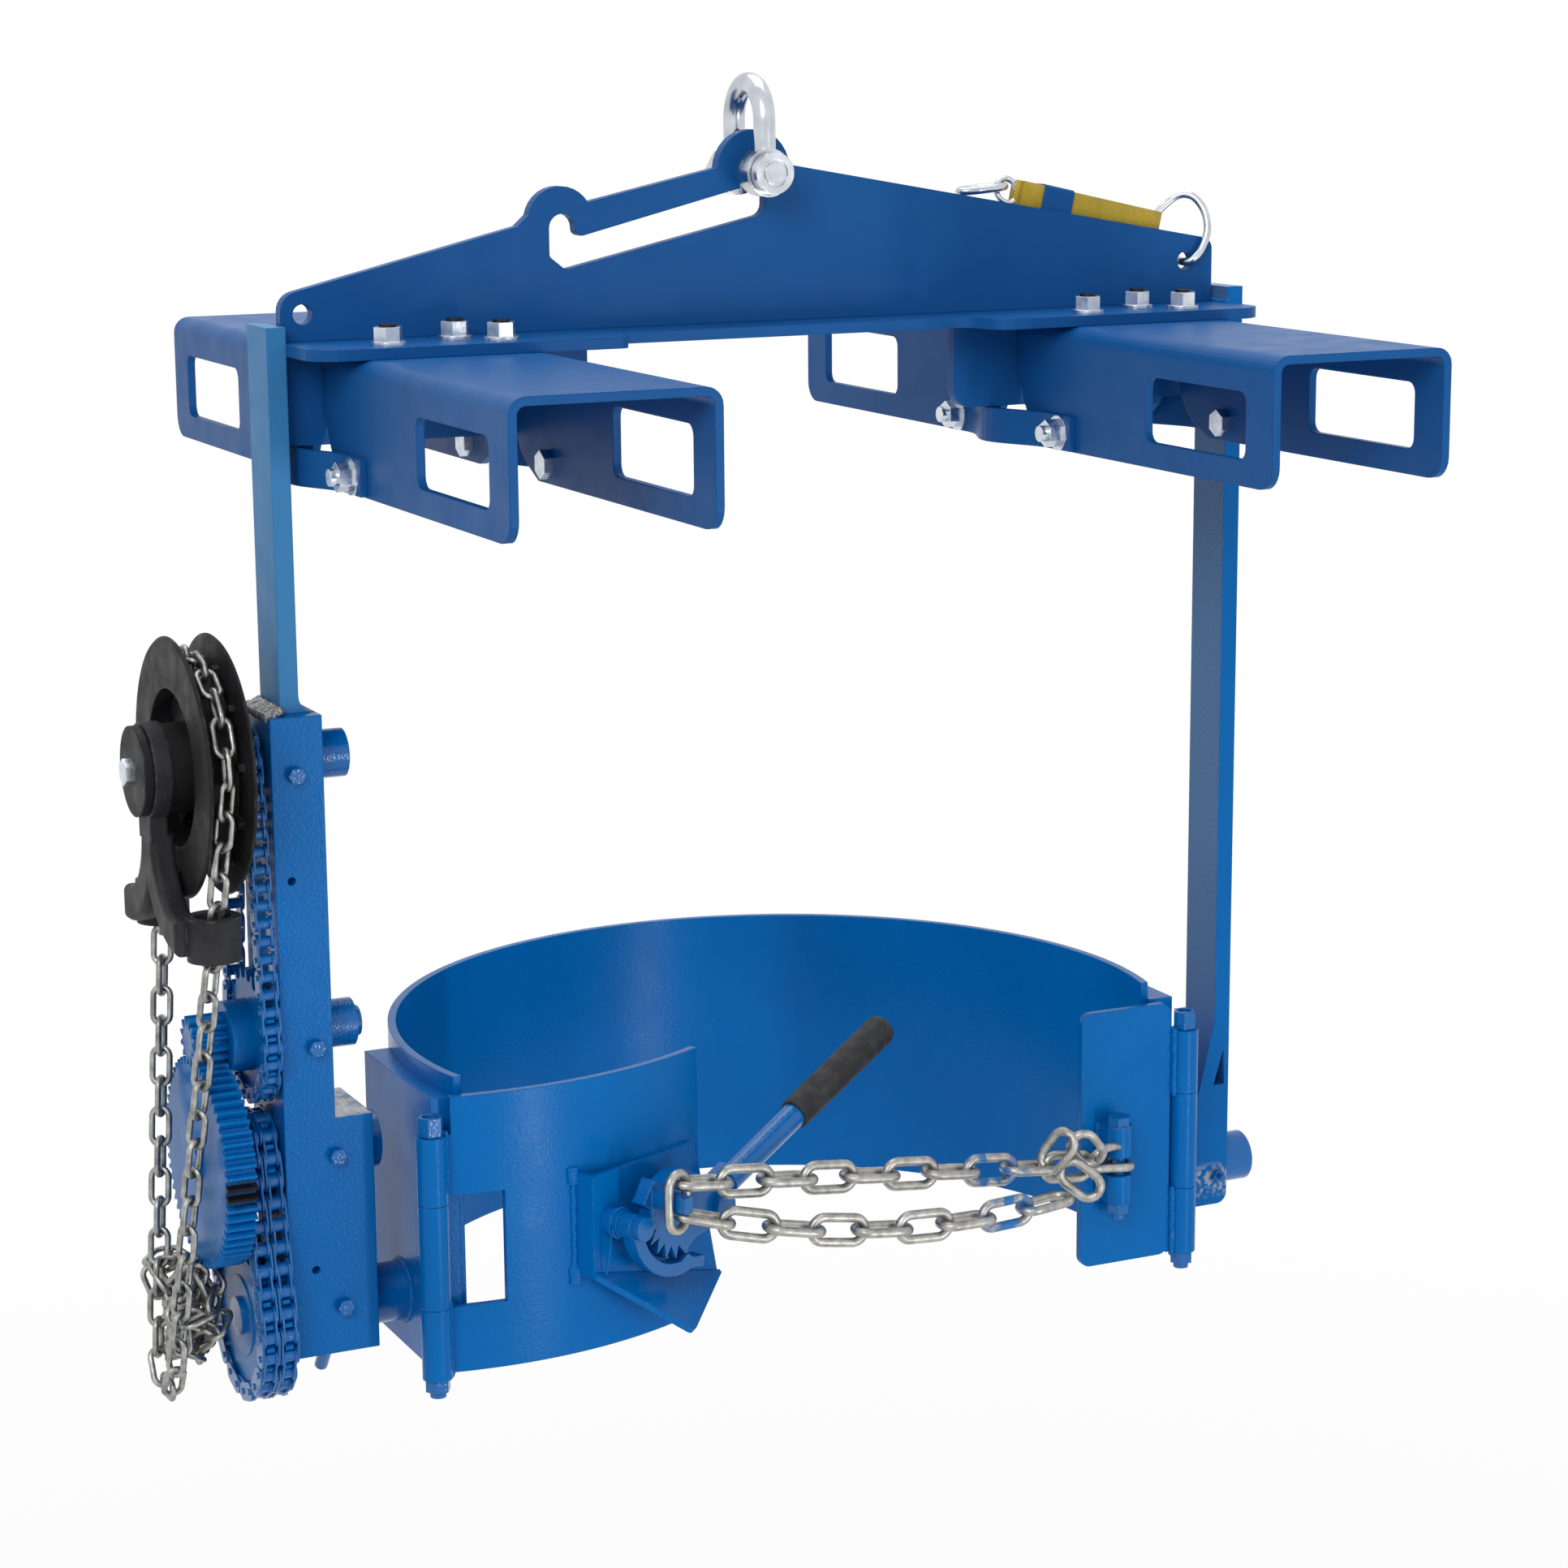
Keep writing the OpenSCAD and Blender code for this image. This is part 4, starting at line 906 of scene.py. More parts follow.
@dataclass
class Finishes:
    """All finishes of the lifter, made once."""

    bright: PowderCoat = PowderCoat(
        "blue_gloss_coat", (0.0, 0.150, 0.490), roughness=0.22, peel=0.30, wear=0.35, gloss=0.11)
    wet: PowderCoat = PowderCoat(
        "blue_wet_coat", (0.0, 0.140, 0.460), roughness=0.13, peel=0.45, wear=0.35, gloss=0.42)
    # The satin coat is the same blue paint as the bright coat, rougher; its darker colour is painted
    # shade.
    shaded_satin: PowderCoat = PowderCoat(
        "blue_shaded_satin_coat", (0.008, 0.099, 0.325), roughness=0.40, peel=0.18, wear=0.10, gloss=0.12)
    # A lighter copy of the same blue paint, worn by the left arm: painted light.
    pale_painted_light: PowderCoat = PowderCoat(
        "blue_pale_painted_light_coat", (0.045, 0.225, 0.490), roughness=0.40, peel=0.18, wear=0.10, gloss=0.12)
    column_step: float = -543.2 * MM
    made: dict[str, Material] = field(default_factory=dict)

    def __post_init__(self) -> None:
        """Make every material from its finish."""
        finishes = {
            "bright": self.bright,
            "wet": self.wet,
            "shaded_satin": self.shaded_satin,
            "pale_painted_light": self.pale_painted_light,
            "column": ColumnPaint("blue_column_coat", self.bright, self.column_step),
            "arm": ArmPaint("blue_arm_coat", self.bright, middle_of("grease_nipple")),
            "gear": GreasyGear("blue_gear_coat", self.bright, middle_of("spur_gear")),
            "zinc": Metal(
                "zinc_plate", (0.72, 0.77, 0.84), roughness=0.28, clouds=90.0, tone_and_reflection_contrast=0.22),
            "black_bolt": Metal(
                "black_oxide", (0.035, 0.035, 0.04), roughness=0.42, clouds=90.0, tone_and_reflection_contrast=0.3),
            "iron": CastIron("black_casting"),
            # The guide's casting is lighter grey than the wheel's: partly real rough casting, partly
            # painted sheen.
            "rough_iron_painted_sheen": CastIron("rough_casting_painted_sheen", (0.020, 0.020, 0.022), (0.16, 0.16, 0.165)),
            "hand_chain": Metal(
                "galvanised_wire", (0.46, 0.46, 0.44), roughness=0.40, clouds=130.0, tone_and_reflection_contrast=0.55,
                scratch=0.25),
            "clamp_chain": OversprayedChain(
                "oversprayed_wire", (0.50, 0.49, 0.46), (0.01, 0.16, 0.46), middle=0.128, half=0.020),
            "steel": Metal(
                "polished_steel", (0.64, 0.68, 0.73), roughness=0.20, clouds=45.0, tone_and_reflection_contrast=0.30,
                scratch=0.05),
            "bronze": Metal(
                "turned_bronze", (0.62, 0.42, 0.18), roughness=0.35, clouds=60.0, tone_and_reflection_contrast=0.25),
            "webbing": Webbing("yellow_webbing", (0.93, 0.69, 0.03), (0.40, 0.25, 0.01)),
            "rubber": Rubber("black_rubber"),
            "ground": Metal(
                "ground_steel", (0.46, 0.46, 0.46), roughness=0.45, clouds=240.0, tone_and_reflection_contrast=0.75,
                scratch=0.9, grain=420.0),
        }
        for key, finish in finishes.items():
            self.made[key] = finish.material()
        LOG.info("%d finishes made", len(self.made))

    def of(self, key: str) -> Material:
        """The material of a finish."""
        return self.made[key]


@dataclass
class Solids:
    """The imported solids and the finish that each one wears."""

    nodes: dict[str, Thing]
    finishes: Finishes
    # These solids wear the satin coat, whose darker colour is painted shade.
    shaded_satin: tuple[str, ...] = (
        "lifting_plate", "base_plate", "web_plates", "pocket_left", "pocket_right", "pocket_straps",
        "strap_band",
    )
    wet: tuple[str, ...] = (
        "drive_chain", "duplex_chain", "hinge_bolts", "anchor_bolt", "lever", "ratchet", "pawl",
        "lever_pin", "binder_pins", "column_screws", "chain_peg", "trunnion_left", "trunnion_right",
        "trunnion_collar", "input_collar", "counter_collar", "gear_collar", "counter_shaft",
        "gear_shaft", "grease_nipple",
    )
    special: dict[str, str] = field(default_factory=lambda: {
        "strap_bolts": "zinc", "strap_nuts": "zinc", "pocket_nuts": "zinc", "cap_bolt": "zinc",
        "pocket_bolts": "black_bolt", "hand_wheel": "iron", "chain_guide": "rough_iron_painted_sheen",
        "wheel_cap": "iron", "hand_chain": "hand_chain", "clamp_chain": "clamp_chain",
        "strap_hooks": "steel", "shackle_pin": "steel", "shackle_bow": "steel",
        "input_shaft": "steel", "bushes": "bronze", "lever_grip": "rubber", "gear_column": "column",
        # The left arm wears the lighter copy of the blue paint, a painted light.
        "spur_gear": "gear", "safety_strap": "webbing", "left_arm": "pale_painted_light", "right_arm": "arm",
    })

    def dress(self) -> None:
        """Give every solid its finish; the rest are bright."""
        for name, item in self.nodes.items():
            plain = "shaded_satin" if name in self.shaded_satin else "wet" if name in self.wet else "bright"
            key = self.special.get(name, plain)
            item.data.materials.clear()
            item.data.materials.append(self.finishes.of(key))
            LOG.info("solid %s wears %s", name, key)


@dataclass(frozen=True)
class Lamp:
    """A soft rectangular lamp, with its sizes in metres and its power in watts."""

    name: str
    place: Point
    wide: float
    tall: float
    power: float


@dataclass
class Studio:
    """Pale floor, soft lights, white surroundings and the camera of the photograph."""

    floor_z: float = -1.75
    floor_half: float = 30.0
    floor_tone: Colour = (0.82, 0.82, 0.82)
    fade_from: float = 1.9
    fade_to: float = 4.0
    near_white: float = 0.90
    image: float = 1932.0
    focal_px: float = 4484.4
    sensor: float = 36.0
    place: Point = (-1.1517, -2.4360, 0.2209)
    yaw: float = 25.44
    pitch: float = 11.78
    roll: float = -0.43
    ambient: float = 0.46
    aim: Point = (0.0, 0.0, -0.40)
    lights: tuple[Lamp, ...] = (
        Lamp("key", (-2.1, -2.3, 1.5), 1.5, 1.5, 40.0),
        Lamp("strip", (0.90, -2.70, -0.95), 0.15, 1.3, 17.0),
        Lamp("top", (0.3, 0.7, 2.3), 2.0, 2.0, 30.0),
    )

    def build(self) -> None:
        """Make the camera, the floor, the lamps and the world."""
        self.camera()
        self.floor()
        self.lamps()
        self.world()
        bpy.context.scene.view_settings.view_transform = "Standard"

    def camera(self) -> None:
        """Stand the camera where the photograph was taken."""
        y, p, r = (math.radians(a) for a in (self.yaw, self.pitch, self.roll))
        ahead = Vector((math.sin(y) * math.cos(p), math.cos(y) * math.cos(p), -math.sin(p)))
        level = Vector((math.cos(y), -math.sin(y), 0.0))
        plumb = level.cross(ahead)
        right = level * math.cos(r) + plumb * math.sin(r)
        up = plumb * math.cos(r) - level * math.sin(r)
        data = bpy.data.cameras.new("camera")
        data.sensor_width = self.sensor
        data.lens = self.sensor * self.focal_px / self.image
        item = new_object("camera", data)
        axes = Matrix((right, up, -ahead)).transposed().to_4x4()
        item.matrix_world = Matrix.Translation(self.place) @ axes
        bpy.context.scene.camera = item

    def floor(self) -> None:
        """Lay a pale floor that camera rays see almost white and that keeps the shadow."""
        mesh = bpy.data.meshes.new("floor")
        half = self.floor_half
        corners = [(-half, -half), (half, -half), (half, half), (-half, half)]
        mesh.from_pydata([(x, y, self.floor_z) for x, y in corners], [], [(0, 1, 2, 3)])
        item = new_object("floor", mesh)
        material = bpy.data.materials.new("pale_floor")
        material.use_nodes = True
        n = Nodes(material.node_tree)
        matte = n.add("ShaderNodeBsdfDiffuse", {"Color": (*self.floor_tone, 1.0)}).outputs[0]
        glow = n.add("ShaderNodeEmission").outputs[0]
        place = n.add("ShaderNodeTexCoord").outputs["Object"]
        far = n.add("ShaderNodeVectorMath", {0: place}, operation="LENGTH").outputs["Value"]
        fade = n.spread(far, self.fade_from, self.fade_to, (self.near_white, 1.0))
        share = n.times(white_rays(n), fade)
        both = n.add("ShaderNodeMixShader", {0: share, 1: matte, 2: glow}).outputs[0]
        n.add("ShaderNodeOutputMaterial", {0: both})
        mesh.materials.append(material)

    def lamps(self) -> None:
        """Hang two large soft lamps and a tall strip that draws streaks on the curved plates."""
        for lamp in self.lights:
            data = bpy.data.lights.new(lamp.name, "AREA")
            data.shape = "RECTANGLE"
            data.size = lamp.wide
            data.size_y = lamp.tall
            data.energy = lamp.power
            item = new_object(lamp.name, data)
            item.location = lamp.place
            sight = Vector(self.aim) - Vector(lamp.place)
            item.rotation_euler = sight.to_track_quat("-Z", "Y").to_euler()

    def world(self) -> None:
        """White for the camera and mirrors, softer for the light on the object."""
        world = bpy.data.worlds.new("surroundings")
        bpy.context.scene.world = world
        world.use_nodes = True
        n = Nodes(world.node_tree)
        strength = n.spread(white_rays(n), 0.0, 1.0, (self.ambient, 1.0))
        back = n.add("ShaderNodeBackground", {"Color": WHITE, "Strength": strength})
        n.add("ShaderNodeOutputWorld", {0: back.outputs[0]})


def white_rays(nodes: Nodes) -> Socket:
    """One for rays from the camera, a mirror or glass, and nought for the rest.

    Args:
        nodes: The tree to build in.

    Returns:
        The mask.
    """
    path = nodes.add("ShaderNodeLightPath")
    mask = path.outputs["Is Camera Ray"]
    for name in ("Is Glossy Ray", "Is Transmission Ray"):
        mask = nodes.math("MAXIMUM", mask, path.outputs[name])
    return mask


def keep(item: Thing, body: Body) -> None:
    """Let a piece ride on a body.

    Args:
        item: The piece.
        body: The body it moves with.
    """
    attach(item, body.value)
    LOG.info("piece %s rides on %s", item.name, body.value)


@dataclass
class HandChain:
    """The hand chain, split at the guide's eyes into the links above them and the links below.

    The last four sizes are depths below the hub of the wheel.
    """

    solid: Thing
    hub: Vector
    most: int = 150_000
    merge: float = 0.001 * MM
    over_hub: float = 0.0
    held_from: float = 70 * MM
    eyes: float = 115 * MM
    free_from: float = 295 * MM

    def build(self) -> None:
        """Stand for the solid chain with its links in two pieces, above and below the guide's eyes."""
        links = self.links()
        for name, upper, first, last, start, end in (
            ("hand_chain_upper", True, Body.FRAME, Body.GUIDE, self.over_hub, self.held_from),
            ("hand_chain_lower", False, Body.GUIDE, Body.FRAME, self.eyes, self.free_from),
        ):
            piece = new_object(name, self.half(links, upper))
            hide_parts("hand_chain")
            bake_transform(piece)
            LOG.info("piece %s sways from %s to %s", name, first.value, last.value)
        bpy.data.meshes.remove(links)

    def half(self, links: Mesh, upper: bool) -> Mesh:
        """The links above or below the guide's eyes.

        Args:
            links: Mesh of all links.
            upper: Whether to keep those above.

        Returns:
            A mesh of whole links.
        """
        form = bmesh.new()
        form.from_mesh(links)
        seen: set[bmesh.types.BMVert] = set()
        drop: list[bmesh.types.BMVert] = []
        for first in form.verts:
            if first in seen:
                continue
            seen.add(first)
            link, rim = [first], [first]
            while rim:
                near = {edge.other_vert(v) for v in rim for edge in v.link_edges} - seen
                seen |= near
                rim = list(near)
                link += rim
            middle = sum(v.co.z for v in link) / len(link)
            if (middle > self.hub.z - self.eyes) != upper:
                drop += link
        bmesh.ops.delete(form, geom=drop, context="VERTS")
        return pour(form, links.copy())

    def links(self) -> Mesh:
        """The solid chain's links, merged and thinned.

        Returns:
            Their mesh, with the solid's finish.
        """
        mesh = self.solid.data.copy()
        form = bmesh.new()
        form.from_mesh(mesh)
        bmesh.ops.remove_doubles(form, verts=form.verts, dist=self.merge)
        for face in form.faces:
            face.smooth = True
        source = new_object("hand_chain_source", pour(form, mesh))
        thin = source.modifiers.new("thin", "DECIMATE")
        thin.ratio = min(1.0, self.most / len(mesh.polygons))
        return plain_mesh(source, "hand_chain_links")


@dataclass
class ChainTails:
    """Loose chain: the knotted slack of the hand chain and the bunch at the clamp chain's anchor.

    The knot swings about its middle at one pace for each axis, swells and shrinks on the way,
    and ripples, each ripple by its height and its pace.
    """

    finishes: Finishes
    hand_pitch: float = 21 * MM
    hand_wire: float = 4.5 * MM
    hand_inside: float = 8.3 * MM
    knot_at: Point = (-0.468, 0.012, -0.686)
    knot_size: Point = (0.017, 0.032, 0.026)
    knot_turns: float = 6.2
    knot_steps: int = 420
    knot_pace: Point = (1.62, 1.0, 0.71)
    knot_start: Point = (0.4, 0.0, 0.8)
    swell: Pair = (0.72, 0.28)
    swell_pace: float = 0.37
    swell_start: float = 1.0
    ripple_y: Pair = (4 * MM, 2.7)
    ripple_z: Pair = (6 * MM, 2.1)
    clamp_pitch: float = 27 * MM
    clamp_wire: float = 7 * MM
    clamp_inside: float = 12 * MM
    bunch_points: tuple[Point, ...] = (
        (0.230, -0.106, -0.636), (0.211, -0.118, -0.630), (0.193, -0.122, -0.614),
        (0.180, -0.114, -0.630), (0.196, -0.126, -0.646),
    )

    def build(self) -> None:
        """Lay both bunches."""
        tree = chain_tree()
        hand = (self.hand_pitch, self.hand_wire, self.hand_inside)
        clamp = (self.clamp_pitch, self.clamp_wire, self.clamp_inside)
        bunch = smooth(self.bunch_points)
        for name, path, body, finish, (pitch, wire, inside) in (
            ("hand_chain_knot", self.knot(), Body.FRAME, "hand_chain", hand),
            ("clamp_chain_bunch", bunch, Body.LEAF, "clamp_chain", clamp),
        ):
            sizes = {"Pitch": pitch, "Wire": wire, "Inside": inside}
            dress = {"Material": self.finishes.of(finish)}
            item = tree.run(curve_of(name + "_path", [path]), {**sizes, **dress}, name)
            keep(item, body)

    def knot(self) -> list[Point]:
        """Path of the slack wound up in a knot.

        Returns:
            Points of the path.
        """
        (cx, cy, cz), (ax, ay, az) = self.knot_at, self.knot_size
        (px, py, pz), (sx, sy, sz) = self.knot_pace, self.knot_start
        (hy, ry), (hz, rz) = self.ripple_y, self.ripple_z
        path = []
        for i in range(self.knot_steps + 1):
            t = self.knot_turns * 2 * math.pi * i / self.knot_steps
            swell = self.swell[0] + self.swell[1] * math.sin(self.swell_pace * t + self.swell_start)
            path.append((cx + ax * math.sin(px * t + sx) * swell,
                         cy + ay * math.cos(py * t + sy) * swell + hy * math.sin(ry * t),
                         cz + az * math.sin(pz * t + sz) + hz * math.sin(rz * t)))
        return path


@dataclass
class SafetyStrap:
    """Yellow webbing, folded to and fro into a flat bundle behind the lifting plate."""

    finishes: Finishes
    origin: Point = (0.2725, 0.0055, 0.0785)
    tilt: float = 12.5
    wide: float = 25 * MM
    thick: float = 2.0 * MM
    half: float = 64 * MM
    layers: int = 6
    depth: float = 18 * MM
    bend_steps: int = 6
    layer_steps: int = 8
    uneven: float = 3 * MM
    wave: float = 0.25 * MM
    wave_pace: float = 6.0
    band_at: float = -30 * MM
    band_wide: float = 26 * MM
    band_room: float = 1.2 * MM
    band_corner: float = 3 * MM
    band_wall: float = 0.9 * MM
    band_lip: float = 0.96
    corner_steps: int = 4
    wire: float = 3.1 * MM
    hook: tuple[Point, ...] = (
        (0.312, 0.0145, 0.0640), (0.330, 0.0145, 0.0700), (0.343, 0.0125, 0.0815),
        (0.3535, 0.0080, 0.0895), (0.3625, 0.0020, 0.0885), (0.3685, -0.0050, 0.0780),
        (0.3690, -0.0092, 0.0630), (0.3635, -0.0098, 0.0490), (0.3560, -0.0088, 0.0410),
        (0.3520, -0.0030, 0.0390), (0.3515, 0.0085, 0.0405),
    )
    ring_at: Point = (0.2050, 0.0145, 0.0965)
    ring_r: float = 9 * MM
    ring_lean: float = 0.35
    ring_wire: float = 0.75
    snap_at: Point = (0.1835, 0.0145, 0.0985)
    snap: Pair = (19 * MM, 8 * MM)
    snap_rise: float = 1.5 * MM
    loop_steps: int = 32

    def build(self) -> None:
        """Fold the strap and put it in the place of its solid."""
        mesh, length = self.sweep(self.path())
        mesh.materials.append(self.finishes.of("webbing"))
        item = new_object("folded_strap", mesh)
        keep(item, Body.FRAME)
        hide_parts("safety_strap")
        self.band()
        self.hooks()

    def at(self, x: float, y: float, z: float) -> Vector:
        """A place along, through and across the bundle, in the part's frame."""
        lean = Matrix.Rotation(math.radians(self.tilt), 3, "Y")
        return Vector(self.origin) + lean @ Vector((x, y, z))

    def band(self) -> None:
        """Wrap the blue band round the bundle."""
        corner = self.band_corner
        half_y = self.depth / 2 + self.band_room
        half_z = self.wide / 2 + self.band_room
        ring = []
        for k, (sy, sz) in enumerate(((1, 1), (-1, 1), (-1, -1), (1, -1))):
            for i in range(self.corner_steps + 1):
                a = math.pi / 2 * (k + i / self.corner_steps)
                ring.append((self.depth / 2 + sy * (half_y - corner) + corner * math.cos(a),
                             sz * (half_z - corner) + corner * math.sin(a)))
        grown = bmesh.new()
        rows = [
            [grown.verts.new(self.at(self.band_at + share * self.band_wide / 2, y, z)) for y, z in ring]
            for share in (-1, -self.band_lip, self.band_lip, 1)
        ]
        for a, b in zip(rows, rows[1:]):
            for k in range(len(ring)):
                m = (k + 1) % len(ring)
                grown.faces.new((a[k], a[m], b[m], b[k])).smooth = True
        bmesh.ops.recalc_face_normals(grown, faces=grown.faces)
        mesh = pour(grown, bpy.data.meshes.new("strap_sleeve"))
        # The sleeve wears the satin coat, whose darker colour is painted shade.
        mesh.materials.append(self.finishes.of("shaded_satin"))
        item = new_object("strap_sleeve", mesh)
        wall = item.modifiers.new("wall", "SOLIDIFY")
        wall.thickness = self.band_wall
        wall.offset = -1.0
        keep(item, Body.FRAME)
        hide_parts("strap_band")

    def hooks(self) -> None:
        """Bend the wire hook at the plate's hole, the ring and the snap hook at the free end."""
        lean = (0.0, self.ring_lean * self.ring_r, self.ring_r)
        ring = loop(self.ring_at, (self.ring_r, 0.0, 0.0), lean, self.loop_steps)
        long, short = self.snap
        snap = loop(self.snap_at, (long, 0.0, self.snap_rise), (0.0, short, 0.0), self.loop_steps)
        item, *extras = (
            tube("strap_hooks_bent", smooth(self.hook), self.wire),
            tube("strap_ring", ring, self.ring_wire * self.wire),
            tube("strap_snap", snap, self.wire),
        )
        grown = bmesh.new()
        for wire in (item, *extras):
            grown.from_mesh(wire.data)
        pour(grown, item.data)
        for extra in extras:
            bpy.data.objects.remove(extra)
        item.data.materials.append(self.finishes.of("steel"))
        keep(item, Body.FRAME)
        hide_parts("strap_hooks")

    def path(self) -> list[Pair]:
        """Middle line of the folds, seen from above.

        Returns:
            Points along the bundle and away from the plate.
        """
        gap = (self.depth - self.thick) / (self.layers - 1)
        radius = gap / 2
        points: list[Pair] = []
        rng = random.Random(7)
        for k in range(self.layers):
            y = self.thick / 2 + gap * k
            side = 1 if k % 2 == 0 else -1
            start = -side * (self.half - radius - rng.uniform(0.0, self.uneven))
            stop = side * (self.half - radius - rng.uniform(0.0, self.uneven))
            for i in range(self.layer_steps + 1):
                u = i / self.layer_steps
                points.append((start + (stop - start) * u,
                               y + self.wave * math.sin(self.wave_pace * u + k)))
            if k < self.layers - 1:
                for i in range(1, self.bend_steps):
                    a = math.pi * i / self.bend_steps
                    points.append((stop + side * radius * math.sin(a), y + radius * (1 - math.cos(a))))
        return points

    def sweep(self, path: list[Pair]) -> tuple[Mesh, float]:
        """Give the path its width and thickness.

        Args:
            path: Middle line of the folds.

        Returns:
            The mesh and the strap's length.
        """
        grown = bmesh.new()
        uv = grown.loops.layers.uv.new("UVMap")
        section = ((-1, -1), (-1, 0), (-1, 1), (1, 1), (1, 0), (1, -1))
        across_uv = [(1 + h) * self.wide / 2 for _, h in section]
        rows = []
        length = 0.0
        for i, (x, y) in enumerate(path):
            before, after = path[max(0, i - 1)], path[min(len(path) - 1, i + 1)]
            along = Vector((after[0] - before[0], after[1] - before[1])).normalized()
            out = Vector((-along.y, along.x)) * self.thick / 2
            if i:
                length += math.dist(path[i - 1], path[i])
            places = [self.at(x + out.x * s, y + out.y * s, h * self.wide / 2) for s, h in section]
            rows.append(([grown.verts.new(place) for place in places], length))
        for (a, la), (b, lb) in zip(rows, rows[1:]):
            for k in range(len(section)):
                m = (k + 1) % len(section)
                face = grown.faces.new((a[k], a[m], b[m], b[k]))
                corners = ((la, k), (la, m), (lb, m), (lb, k))
                for corner, (along_uv, place) in zip(face.loops, corners):
                    corner[uv].uv = (along_uv, across_uv[place])
                face.smooth = True
        for row, _ in (rows[0], rows[-1]):
            grown.faces.new(row)
        bmesh.ops.recalc_face_normals(grown, faces=grown.faces)
        return pour(grown, bpy.data.meshes.new("folded_strap")), length


@dataclass
class Welds:
    """Weld beads where plates, bosses and knuckles meet.

    Heights on the ring, the door and the leaf are above the ring's lower edge.
    """

    finishes: Finishes
    hinges: tuple[Vector, Vector]
    step: float = 2.4 * MM
    first_seed: int = 11
    pace: float = 4 * MM
    waver: float = 0.4 * MM
    waver_pace: float = 1.9
    round_steps: int = 36
    knuckle_r: float = 11 * MM
    knuckles: tuple[Pair, ...] = ((0.002, 0.0555), (0.1335, 0.184))
    knuckle_gap: float = 4 * MM
    ring_bead: Pair = (3 * MM, 1 * MM)
    door_bead: Pair = (11.2 * MM, 1.2 * MM)
    leaf_bead: Pair = (-11.4 * MM, -4.2 * MM)
    door_reach: float = 302 * MM
    door_turn: float = 76.56
    door_face: float = 297.5 * MM
    bracket_at: float = 20.6
    bracket_low: float = 64 * MM
    bracket_high: float = 140 * MM
    tack_apart: float = 2 * MM
    tack_out: float = 0.5 * MM
    tack_down: float = 6 * MM
    tack_up: float = 4 * MM
    boss_lows: Pair = (57 * MM, 95 * MM)
    boss_tall: float = 22 * MM
    boss_half: float = 10.5 * MM
    boss_front: float = 4 * MM
    arm_rows: int = 5
    arm_gap: float = 1.5 * MM
    arm_apart: float = 2.4 * MM
    arm_rise: float = 3.0 * MM
    arm_fall: float = 0.9 * MM
    arm_front: float = 6 * MM

    def build(self) -> None:
        """Lay the beads of each body."""
        tree = weld_tree()
        for number, (name, body, radius, finish, paths) in enumerate((
            ("frame_welds", Body.FRAME, 2.6 * MM, "bright", self.frame_paths()),
            ("ring_welds", Body.RING, 2.8 * MM, "bright", self.ring_paths()),
            ("door_welds", Body.DOOR, 2.6 * MM, "bright", self.door_paths()),
            ("leaf_welds", Body.LEAF, 2.8 * MM, "bright", self.leaf_paths()),
            ("arm_weld", Body.FRAME, 3.6 * MM, "ground", self.arm_paths()),
        )):
            sizes = {"Step": self.step, "Radius": radius, "Seed": self.first_seed + number}
            dress = {"Material": self.finishes.of(finish)}
            item = tree.run(curve_of(name, paths), {**sizes, **dress}, name)
            keep(item, body)

    def upright(self, x: float, y: float, low: float, high: float) -> list[Point]:
        """A bead straight up, with a slight waver.

        Args:
            x: Place across.
            y: Place front to back.
            low: Height of its lower end.
            high: Height of its upper end.

        Returns:
            Points of the bead.
        """
        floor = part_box("ring_band")[0].z
        count = max(2, round((high - low) / self.pace))
        return [
            (x + self.waver * math.sin(self.waver_pace * i), y, floor + low + (high - low) * i / count)
            for i in range(count + 1)
        ]

    def round_x(self, x: float, z: float, radius: float) -> list[Point]:
        """A circle about a line along X, at the height z."""
        return loop((x, 0.0, z), (0.0, radius, 0.0), (0.0, 0.0, radius), self.round_steps)

    def frame_paths(self) -> list[list[Point]]:
        """The bead where the right arm meets the base plate.

        Returns:
            Points of each bead.
        """
        arm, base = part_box("right_arm"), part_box("base_plate")
        x, z = base[1].x, base[1].z
        return [[(x, arm[0].y, z), (x, arm[1].y, z)]]

    def ring_paths(self) -> list[list[Point]]:
        """Beads round the trunnions on the side blocks and beside the middle knuckles.

        Returns:
            Points of each bead.
        """
        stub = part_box("trunnion_right")
        z = (stub[0].z + stub[1].z) / 2
        radius = (stub[1].z - stub[0].z) / 2
        ends = (stub[0].x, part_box("trunnion_left")[1].x)
        paths = [self.round_x(x, z, radius) for x in ends]
        low, high = self.knuckles[0][1] + self.knuckle_gap, self.knuckles[1][0] - self.knuckle_gap
        for hinge, block in zip(self.hinges, ("cheek_left", "cheek_right")):
            side = -1 if hinge.x < 0 else 1
            x = hinge.x + side * self.ring_bead[0]
            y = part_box(block)[0].y + self.knuckle_r + self.ring_bead[1]
            paths.append(self.upright(x, y, low, high))
        return paths

    def knuckle_paths(self, hinge: Vector, off: Pair) -> list[list[Point]]:
        """Beads along the two knuckles of a hinge, that far from its line."""
        return [self.upright(hinge.x + off[0], hinge.y + off[1], *span) for span in self.knuckles]

    def door_paths(self) -> list[list[Point]]:
        """Beads along the door's knuckles and the bracket's left edge.

        Returns:
            Points of each bead.
        """
        hinge = self.hinges[0]
        paths = self.knuckle_paths(hinge, self.door_bead)
        turn = math.radians(self.door_turn)
        edge = turn - math.pi + math.radians(self.bracket_at)
        x = hinge.x + self.door_reach * math.cos(turn) + self.door_face * math.cos(edge)
        y = hinge.y + self.door_reach * math.sin(turn) + self.door_face * math.sin(edge)
        paths.append(self.upright(x, y, self.bracket_low, self.bracket_high))
        for z in (self.bracket_low, self.bracket_high):
            for k in (-1, 0, 1):
                paths.append(self.upright(
                    x + k * self.tack_apart, y - self.tack_out, z - self.tack_down, z + self.tack_up))
        return paths

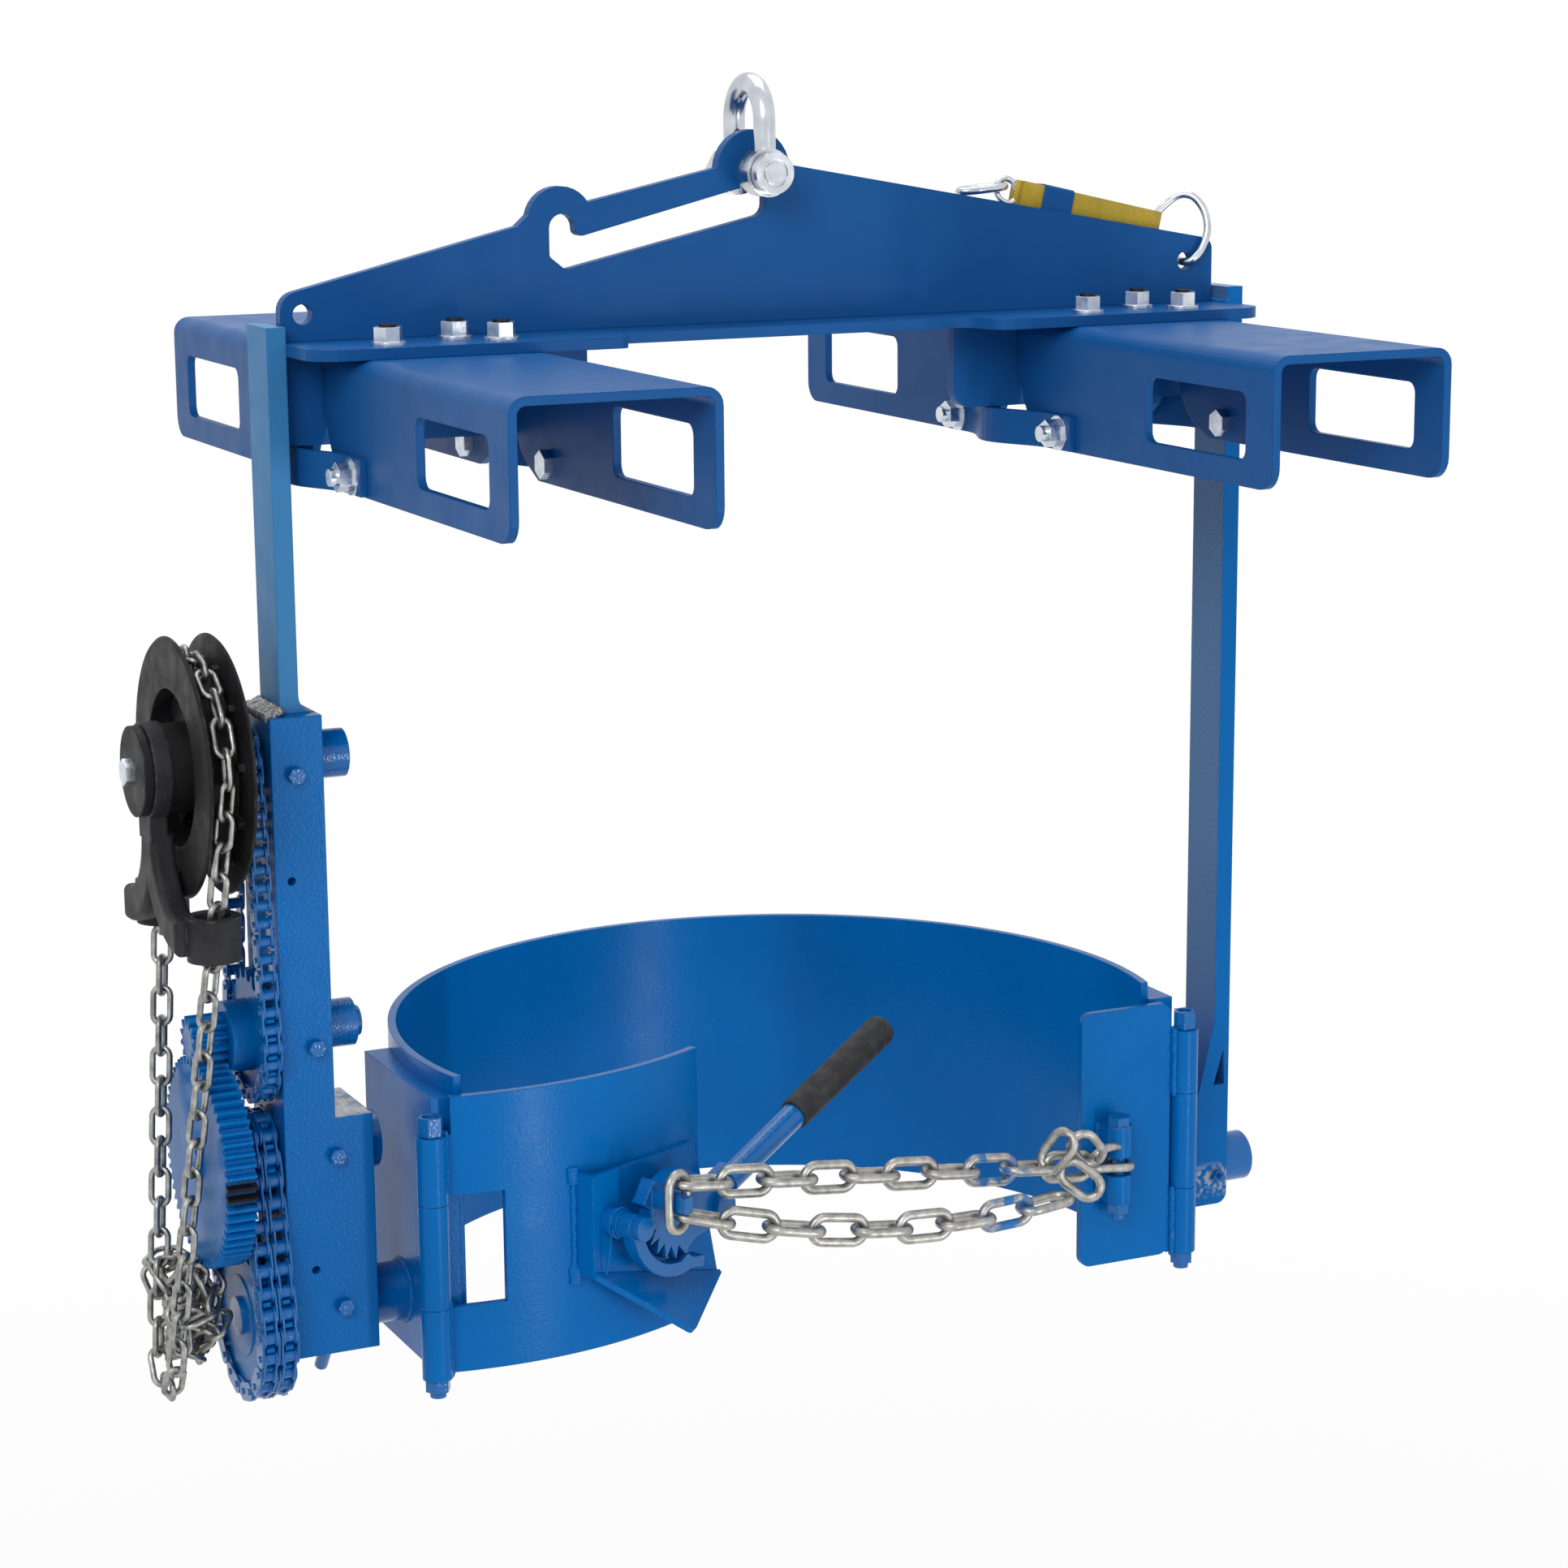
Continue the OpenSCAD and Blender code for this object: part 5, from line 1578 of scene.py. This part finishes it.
    def leaf_paths(self) -> list[list[Point]]:
        """Beads along the leaf's knuckles and beside its two bosses.

        Returns:
            Points of each bead.
        """
        hinge = self.hinges[1]
        paths = self.knuckle_paths(hinge, self.leaf_bead)
        x, y = middle_of("anchor_bolt")[0], hinge.y - self.boss_front
        for low in self.boss_lows:
            for side in (-1, 1):
                paths.append(self.upright(x + side * self.boss_half, y, low, low + self.boss_tall))
        return paths

    def arm_paths(self) -> list[list[Point]]:
        """The rough ground weld where the left arm meets the column.

        Returns:
            Points of each bead.
        """
        arm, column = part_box("left_arm"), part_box("gear_column")
        rows = []
        for k in range(self.arm_rows):
            x = arm[0].x - self.arm_gap - k * self.arm_apart
            z = column[1].z + self.arm_rise - k * self.arm_fall
            rows.append([(x, arm[0].y - self.arm_front, z), (x, arm[1].y, z)])
        return rows


@dataclass
class PawlSpring:
    """Thin wire from the pawl's boss to the bracket's lower fold.

    Each leg is given by its share of the reach and by how far it goes back along the axis.
    """

    finishes: Finishes
    pivot: Vector
    axis: Vector
    radius: float = 0.9 * MM
    coil: float = 10.9 * MM
    set_back: float = 14 * MM
    turns: float = 2.5
    steps: int = 60
    rise: float = 2.1
    reach: float = 45 * MM
    legs: tuple[Pair, ...] = ((0.5, 3 * MM), (0.35, 4 * MM))

    def build(self) -> None:
        """Wind the coil round the boss and draw its long leg."""
        along = UP.cross(self.axis)
        centre = self.pivot - self.axis * self.set_back
        path = []
        for i in range(self.steps + 1):
            a = -2 * math.pi * self.turns * i / self.steps
            lift = self.rise * self.radius * self.turns * i / self.steps
            arm = along * math.cos(a) + UP * math.sin(a)
            path.append(centre + self.axis * lift + self.coil * arm)
        for share, back in self.legs:
            path.append(path[-1] - UP * self.reach * share - self.axis * back)
        item = tube("pawl_spring", [tuple(p) for p in path], self.radius)
        item.data.materials.append(self.finishes.of("bright"))
        keep(item, Body.DOOR)


def of_joint(frame: dict[str, Any], name: str, key: str) -> Vector:
    """What the frame says of a joint: pos_m, its place in metres, or axis, its line."""
    return Vector(next(j for j in frame["joints"] if j["name"] == name)[key])


def main() -> None:
    """Build the looks in order."""
    logging.basicConfig(level=logging.INFO, format="%(name)s: %(message)s")
    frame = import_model()
    guide, door, leaf, pawl = (
        of_joint(frame, name, "pos_m")
        for name in ("guide_swing", "door_hinge", "leaf_hinge", "pawl_pivot")
    )
    Studio().build()
    finishes = Finishes()
    Solids(frame["nodes"], finishes).dress()
    HandChain(frame["nodes"]["hand_chain"], guide).build()
    ChainTails(finishes).build()
    SafetyStrap(finishes).build()
    Welds(finishes, (door, leaf)).build()
    PawlSpring(finishes, pawl, -of_joint(frame, "pawl_pivot", "axis")).build()


if __name__ == "__main__":
    main()
